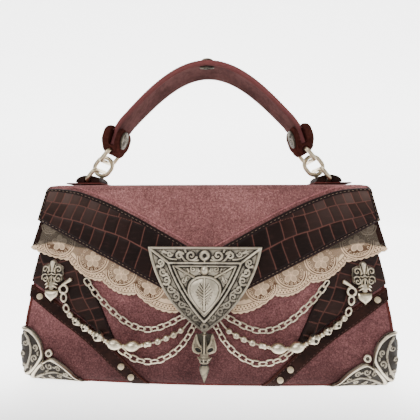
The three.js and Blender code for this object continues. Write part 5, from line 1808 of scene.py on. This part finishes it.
guardSizes = {
    "lift": 0.95, "thickness": 1.4, "low": 0.5, "bossAlong": -16.2, "bossZ": 23.2, "boss": 2.15,
    "bossWire": 0.9, "bossLift": 1.2, "round": 0.7, "relief": 0.95, "first": -35.5, "notch": -12.4,
    "last": 25.5, "rise": 30.0,
}
guardTop = [  # distance round the corner, from its start on the front; height of the edge there
    (-35.5, 3.8), (-32.6, 10.0), (-26.4, 16.2), (-18.2, 20.0), (-12.4, 17.4), (-11.9, 24.0), (-10.6, 29.6),
    (-6.6, 36.0), (0, 41), (3.14, 41.6), (6.28, 41.4), (9.42, 40), (18, 31), (23, 19), (25.5, 8),
]
guardCurls = [  # distance round the corner, height, size, start, turn
    (-5.6, 19.6, 2.6, 300, 1), (-5.8, 27.4, 2.3, 250, -1), (2.4, 13.2, 2.0, 200, -1),
    (3.2, 22.4, 2.4, 270, 1), (1.4, 30.6, 2.0, 120, 1), (-11.0, 12.6, 2.2, 10, 1), (-17.0, 14.2, 2.3, 20, -1),
    (-23.2, 12.4, 2.1, 20, 1), (-28.6, 8.6, 1.6, 20, -1), (-15.6, 6.0, 1.5, 200, 1),
    (-22.6, 6.2, 1.6, 160, -1), (-7.6, 4.6, 1.5, 40, 1), (6.4, 29.4, 1.9, 60, -1), (12.6, 10.0, 2.0, 60, -1),
    (12.2, 19.6, 2.2, 100, 1), (19.0, 9.6, 1.9, 140, 1), (18.4, 18.4, 1.8, 300, -1),
    (12.0, 27.6, 1.9, 100, -1),
]
guardLeaves = [  # distance round the corner, height, angle, length
    (-1.6, 11.0, 120, 4.4), (-8.2, 22.4, 85, 4.0), (-13.6, 10.0, 150, 4.4), (-20.0, 13.6, 200, 4.0),
]


def guardPoint(sign, along, z, out):
    corner = bodySizes["corner"]
    arc = corner * math.pi / 2
    reach = halfWidthAt(z) - corner
    turn = np.clip(along, 0, arc) / corner
    flatX = reach + np.minimum(along, 0)
    bentX = reach + (corner + out) * np.sin(turn)
    bentY = frontY(reach, z) + corner - (corner + out) * np.cos(turn) + np.maximum(0, along - arc)
    onFront = along < 0
    return spots(sign * np.where(onFront, flatX, bentX), np.where(onFront, frontY(flatX, z) - out, bentY), z)


def guardStrokes():  # the two edges come first
    top = np.array(guardTop)
    lying = np.vstack([top[:5] + [0.4, -1.1], [(-8.4, 13.4), (-3.4, 8.4), (2.0, 3.0)]])
    standing = np.vstack([[(10.0, 2.6), (3.0, 6.6), (-4.0, 11.6), (-8.6, 17.0)], top[5:] + [0.5, -1.1]])
    strokes = [
        lineStroke(lying, 1.0, 1.15),
        lineStroke(standing, 1.0, 1.15),
        lineStroke([(4.0, 8.0), (-0.6, 16.0), (-2.6, 25.0), (-0.4, 33.0), (2.4, 38.0)], 0.8, 0.85),
        lineStroke([(9.0, 6.0), (9.6, 16.0), (8.2, 26.0), (5.4, 35.0)], 0.8, 0.85),
        lineStroke([(15.0, 4.6), (16.0, 13.0), (15.0, 22.0), (11.4, 31.0)], 0.7, 0.8),
        lineStroke([(-2.0, 4.0), (-11.0, 7.8), (-21.0, 9.6), (-30.6, 5.6)], 0.8, 0.85),
        lineStroke([(-3.0, 2.4), (-13.0, 3.6), (-24.0, 3.4), (-32.0, 2.6)], 0.6, 0.7),
    ]
    strokes += [spiralStroke(*row, 430, 0.72, 0.9) for row in guardCurls]
    for row in guardLeaves:
        strokes += leafStrokes(*row, 0.8, 0.8)
    return strokes


def makeGuard(name, sign):
    s = guardSizes
    bent = np.linspace(-12.1, 9.42, 76)[:-1]
    runs = [np.linspace(s["first"], s["notch"], 74), bent, np.linspace(9.42, s["last"], 44)]
    along = np.concatenate(runs)
    high = np.where(along <= s["notch"], curveAt(guardTop[:5], along), curveAt(guardTop[4:], along))
    w = edgeSteps(88, s["rise"], 0.5)[:, None]
    z = s["low"] + (high - s["low"]) * w
    along = np.broadcast_to(along, z.shape)
    edgeGap = np.minimum(high - z, np.minimum(along - s["first"], s["last"] - along))
    strokes = guardStrokes()
    relief = strokeField(along, z, strokes)
    height = s["thickness"] * roundedEdge(edgeGap, s["round"], 0.3)
    height += s["relief"] * relief * grade(edgeGap, 0, 0.8)
    ground = grade(relief, 0.55, 0) * grade(edgeGap, 0, 0.9)
    inside = grade(strokeField(along, z, strokes[:2]), 0.5, 0) * grade(edgeGap, 0, 0.9)
    recess = np.clip(recessOf(height, 5, 0.22) + ground * 0.64 + inside * 0.42, 0, 1)
    outer = guardPoint(sign, along, z, s["lift"] + height)
    inner = guardPoint(sign, along, z, s["lift"])
    cast = Casting()
    cast.add(sheetPart(outer, inner, layerSkip), bothSides(recess, recess * 0, layerSkip))

    def onBoss(a, b, out):
        return guardPoint(sign, s["bossAlong"] + a, s["bossZ"] + b, out + s["bossLift"])

    cast.add(ringPart(s["boss"], s["bossWire"], onBoss, 24, 8))
    cast.add(turnedPart(((1.9, -0.9), (1.9, 0.1), (0.8, 0.35)), 16, onBoss), 0.85)
    cast.place("guard_" + name, "corner_guard_" + name, "silver", 75)


for sideName, sideSign in sides.items():
    makeStud(sideName, sideSign)
    makeHeart(sideName, sideSign)
    makeGuard(sideName, sideSign)
print("studs, hearts and guards ready")


# The handle, its tabs, links and anchors
handleSizes = {
    "width": 28.0, "thickness": 4.2, "apexZ": 251.6, "fall": 0.01057, "bendX": 70.0, "cup": 5.0, "step": 2.0,
    "round": 1.6, "endWidth": 0.74, "rib": 0.12, "ribAt": 2.6, "stitchAt": 0.83, "stitchOut": 0.05,
    "stitchSkip": 6,
}
tabSizes = {"x": 73.0, "z": 197.0, "tilt": 72.0, "strapEnd": 14.4, "tunnelAt": 19.4}


def onTab(sign, down, out, y):
    down, out, y = np.broadcast_arrays(down, out, y)
    tilt = math.radians(tabSizes["tilt"])
    x = sign * (tabSizes["x"] + down * math.cos(tilt) + out * math.sin(tilt))
    return spots(x, y, tabSizes["z"] - down * math.sin(tilt) + out * math.cos(tilt))


def handleLine():
    s = handleSizes
    x = np.linspace(-s["bendX"], s["bendX"], 60)
    bow = spots(x, 0, s["apexZ"] - s["fall"] * x * x)
    ends = np.array([1.0, 6.0, tabSizes["strapEnd"]])
    line = evenPath(np.vstack([onTab(-1, ends[::-1], 0.0, 0.0), bow, onTab(1, ends, 0.0, 0.0)]), s["step"])
    for unused in range(3):
        line[1:-1] = (line[:-2] + 2 * line[1:-1] + line[2:]) / 4
    return line


def makeHandle():
    s = handleSizes
    line = handleLine()
    count = np.arange(len(line))
    along = unit(np.gradient(line, axis=0))
    out = np.stack([-along[:, 2], np.zeros(len(along)), along[:, 0]], 1)
    cup = s["cup"] * np.clip(1 - (line[:, 0] / (s["bendX"] - 2)) ** 4, 0, 1)
    t = 2 * edgeSteps(26, s["width"], s["round"]) - 1
    near = (1 - np.abs(t)) * s["width"] / 2
    pad = s["thickness"] / 2 * roundedEdge(near, s["round"], 0.35)
    bowl = cup[:, None] * (t * t)
    reach = np.minimum(count, count[::-1]) * s["step"]
    half = s["width"] / 2 * (s["endWidth"] + (1 - s["endWidth"]) * grade(reach, 10, 17))
    base = line[:, None, :] + spots(0.0, half[:, None] * t, 0.0)
    rib = s["rib"] * np.sin(count * 2.4)[:, None] * bell(near - s["ribAt"], 1.2)
    outer = base + (pad - bowl + rib)[..., None] * out[:, None, :]
    inner = base + (-pad - bowl)[..., None] * out[:, None, :]
    # painted light: the strap's upper face is paler all over than its shaded underside, and palest along the
    # edges where it curves down; the underside has only a paler rim
    litTopAndEdges = np.broadcast_to(np.maximum(grade(near, 5.6, 3.6), 0.3), bowl.shape)
    edgeUnder = np.broadcast_to(grade(near, 0.9, 0.4) * 0.6, bowl.shape)
    marks = {"edge": bothSides(litTopAndEdges, edgeUnder)}
    part = sheetPart(outer, inner)
    makePiece("handle_cover", part, "strapLeather", "strap_leather", ["handle_strap"], marks, sharp=60)
    lift = s["thickness"] / 2 + s["stitchOut"] - cup * s["stitchAt"] ** 2
    kept = slice(s["stitchSkip"], -s["stitchSkip"])
    runs = []
    for side in sides.values():
        row = line + [0, side * s["stitchAt"] * s["width"] / 2, 0] + lift[:, None] * out
        runs.append((row[kept], out[kept]))
    stitchPiece("handle_stitches", runs, "pinkThread", "strap_leather", 2.7, 1.8, 0.5)


coinSizes = {
    "radius": 7.4, "rim": 1.0, "dome": 2.0, "at": 8.0, "y": -3.4, "outer": 8.655, "inner": 5.861,
    "worn": 0.68,
}
# the coin under the handle is darker than the one on top: tarnish and painted shade
apexCoins = {"radius": 5.5, "rim": 0.9, "dome": 1.6, "seat": 0.4, "wornTop": 0.15, "wornAndShadedUnder": 0.75}
underCoin = {"y": -5.5, "along": 1.13, "across": 0.53, "lowered": 1.2, "slope": 0.16}


def makeCoin(title, node, sizes, worn, toPoint):
    radius, rim, dome = (sizes[key] for key in ("radius", "rim", "dome"))
    turn = circle(64)
    level = np.concatenate([np.linspace(0.03, 0.9, 30), [0.94, 0.97, 1.0]])[:, None]
    x, z = radius * level * np.cos(turn), radius * level * np.sin(turn)
    size = radius / coinSizes["radius"]
    strokes = []
    for angle in (90, 210, 330):
        a, b = math.cos(math.radians(angle)), math.sin(math.radians(angle))
        curl = (3.2 * size * a, 3.2 * size * b, 2.3 * size, angle, 1, 430, 0.62 * size, 0.55)
        strokes.append(spiralStroke(*curl))
        strokes += leafStrokes(0.6 * a, 0.6 * b, angle + 60, 4.4 * size, 0.6 * size, 0.45)
    height = rim * 0.8 + (dome - rim) * 0.7 * np.clip(1 - level**2, 0, 1) + 0.45 * bell(level - 0.88, 0.05)
    height = height + strokeField(x, z, strokes)
    height[-1] = rim * 0.5
    recess = np.clip(recessOf(height, 5, 0.25) + worn, 0, 1)
    cast = Casting()
    cast.addPlate(toPoint(x, z, height), toPoint(x[::-8], z[::-8], 0.0), recess, worn)
    cast.place(title, node, "darkSilver", 70)


def makeCoins():
    h, a, c, under = handleSizes, apexCoins, coinSizes, underCoin
    topZ = h["apexZ"] + h["thickness"] / 2 + a["seat"]
    lowZ = h["apexZ"] - h["thickness"] / 2 - under["lowered"]

    def onTop(x, z, out):
        return spots(x, z, topZ + out)

    def below(x, z, out):
        y = under["y"] + z * under["across"]
        return spots(x * under["along"], y, lowZ + under["slope"] * y - out)

    makeCoin("coin_apex_top", "apex_coin_top", a, a["wornTop"], onTop)
    makeCoin("coin_apex_under", "apex_coin_under", a, a["wornAndShadedUnder"], below)
    for name, sign in sides.items():
        for label, face in (("outer", 1), ("inner", -1)):

            def onFace(x, z, out):
                return onTab(sign, c["at"] + x, face * (c[label] + out), c["y"] + z)

            ends = "{}_{}".format(name, label)
            makeCoin("coin_" + ends, "tab_coin_" + ends, c, c["worn"], onFace)


linkSizes = {"wire": 3.2, "play": 0.3, "x": 98.2, "z": 154.1}
linkRows = [  # length, width, corner, whether it lies flat to the front
    (11.0, 24.4, 2.9, False), (16.09, 13.2, 6.4, True), (11.0, 26.8, 2.9, False),
]


def makeLinks(name, sign):
    s = linkSizes
    low = np.array([sign * s["x"], 0, s["z"]])
    along = unit(onTab(sign, tabSizes["tunnelAt"], 0.0, 0.0) - low)
    depth = np.array([0.0, 1.0, 0.0])
    across = np.cross(depth, along)
    start = 0.0
    for number, (length, width, corner, flat) in enumerate(linkRows):
        centre = low + along * (start + length / 2)
        wide = across if flat else depth
        line = []
        for u, v, begin in ((1, 1, 0), (-1, 1, 90), (-1, -1, 180), (1, -1, 270)):
            for turn in np.radians(np.linspace(begin, begin + 90, 9)):
                reachU = u * (length / 2 - corner) + corner * math.cos(turn)
                reachV = v * (width / 2 - corner) + corner * math.sin(turn)
                line.append(centre + along * reachU + wide * reachV)
        part = tubePart(line, s["wire"] / 2, 14, up=np.cross(along, wide), joined=True)
        ends = "{}_{}".format(name, number + 1)
        makePiece("link_" + ends, part, "linkSilver", "antique_silver", ["handle_link_" + ends], sharp=70)
        start += length - s["wire"] - s["play"]


softPieces = [  # piece, node, finish, slot, grain in millimetres, passes of smoothing
    ("tab_", "handle_tab_", "tabLeather", "dark_leather", 0.6, 5),
    ("loop_", "anchor_loop_", "darkLeather", "dark_leather", 0.55, 3),
    ("patch_", "anchor_patch_", "redLeather", "strap_leather", 0.42, 1),
]


def softCopy(title, node, finish, slot, grain, passes):  # a leather piece with its edges worn round
    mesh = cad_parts[node].data.copy()
    shape = bmesh.new()
    shape.from_mesh(mesh)
    bmesh.ops.remove_doubles(shape, verts=shape.verts, dist=1e-6)
    shape.to_mesh(mesh)
    shape.free()
    holder = showMesh(title, mesh)
    skin = holder.modifiers.new("skin", "REMESH")
    skin.mode = "VOXEL"
    skin.voxel_size = grain * mm
    smooth = holder.modifiers.new("smooth", "SMOOTH")
    smooth.factor = 0.5
    smooth.iterations = passes
    soft = bakedMesh(title, holder)
    soft.shade_smooth()
    placePiece(title, soft, finish, slot, [node])


makeHandle()
makeCoins()
for sideName, sideSign in sides.items():
    makeLinks(sideName, sideSign)
    for title, node, *rest in softPieces:
        softCopy(title + sideName, node + sideName, *rest)
print("handle ready")
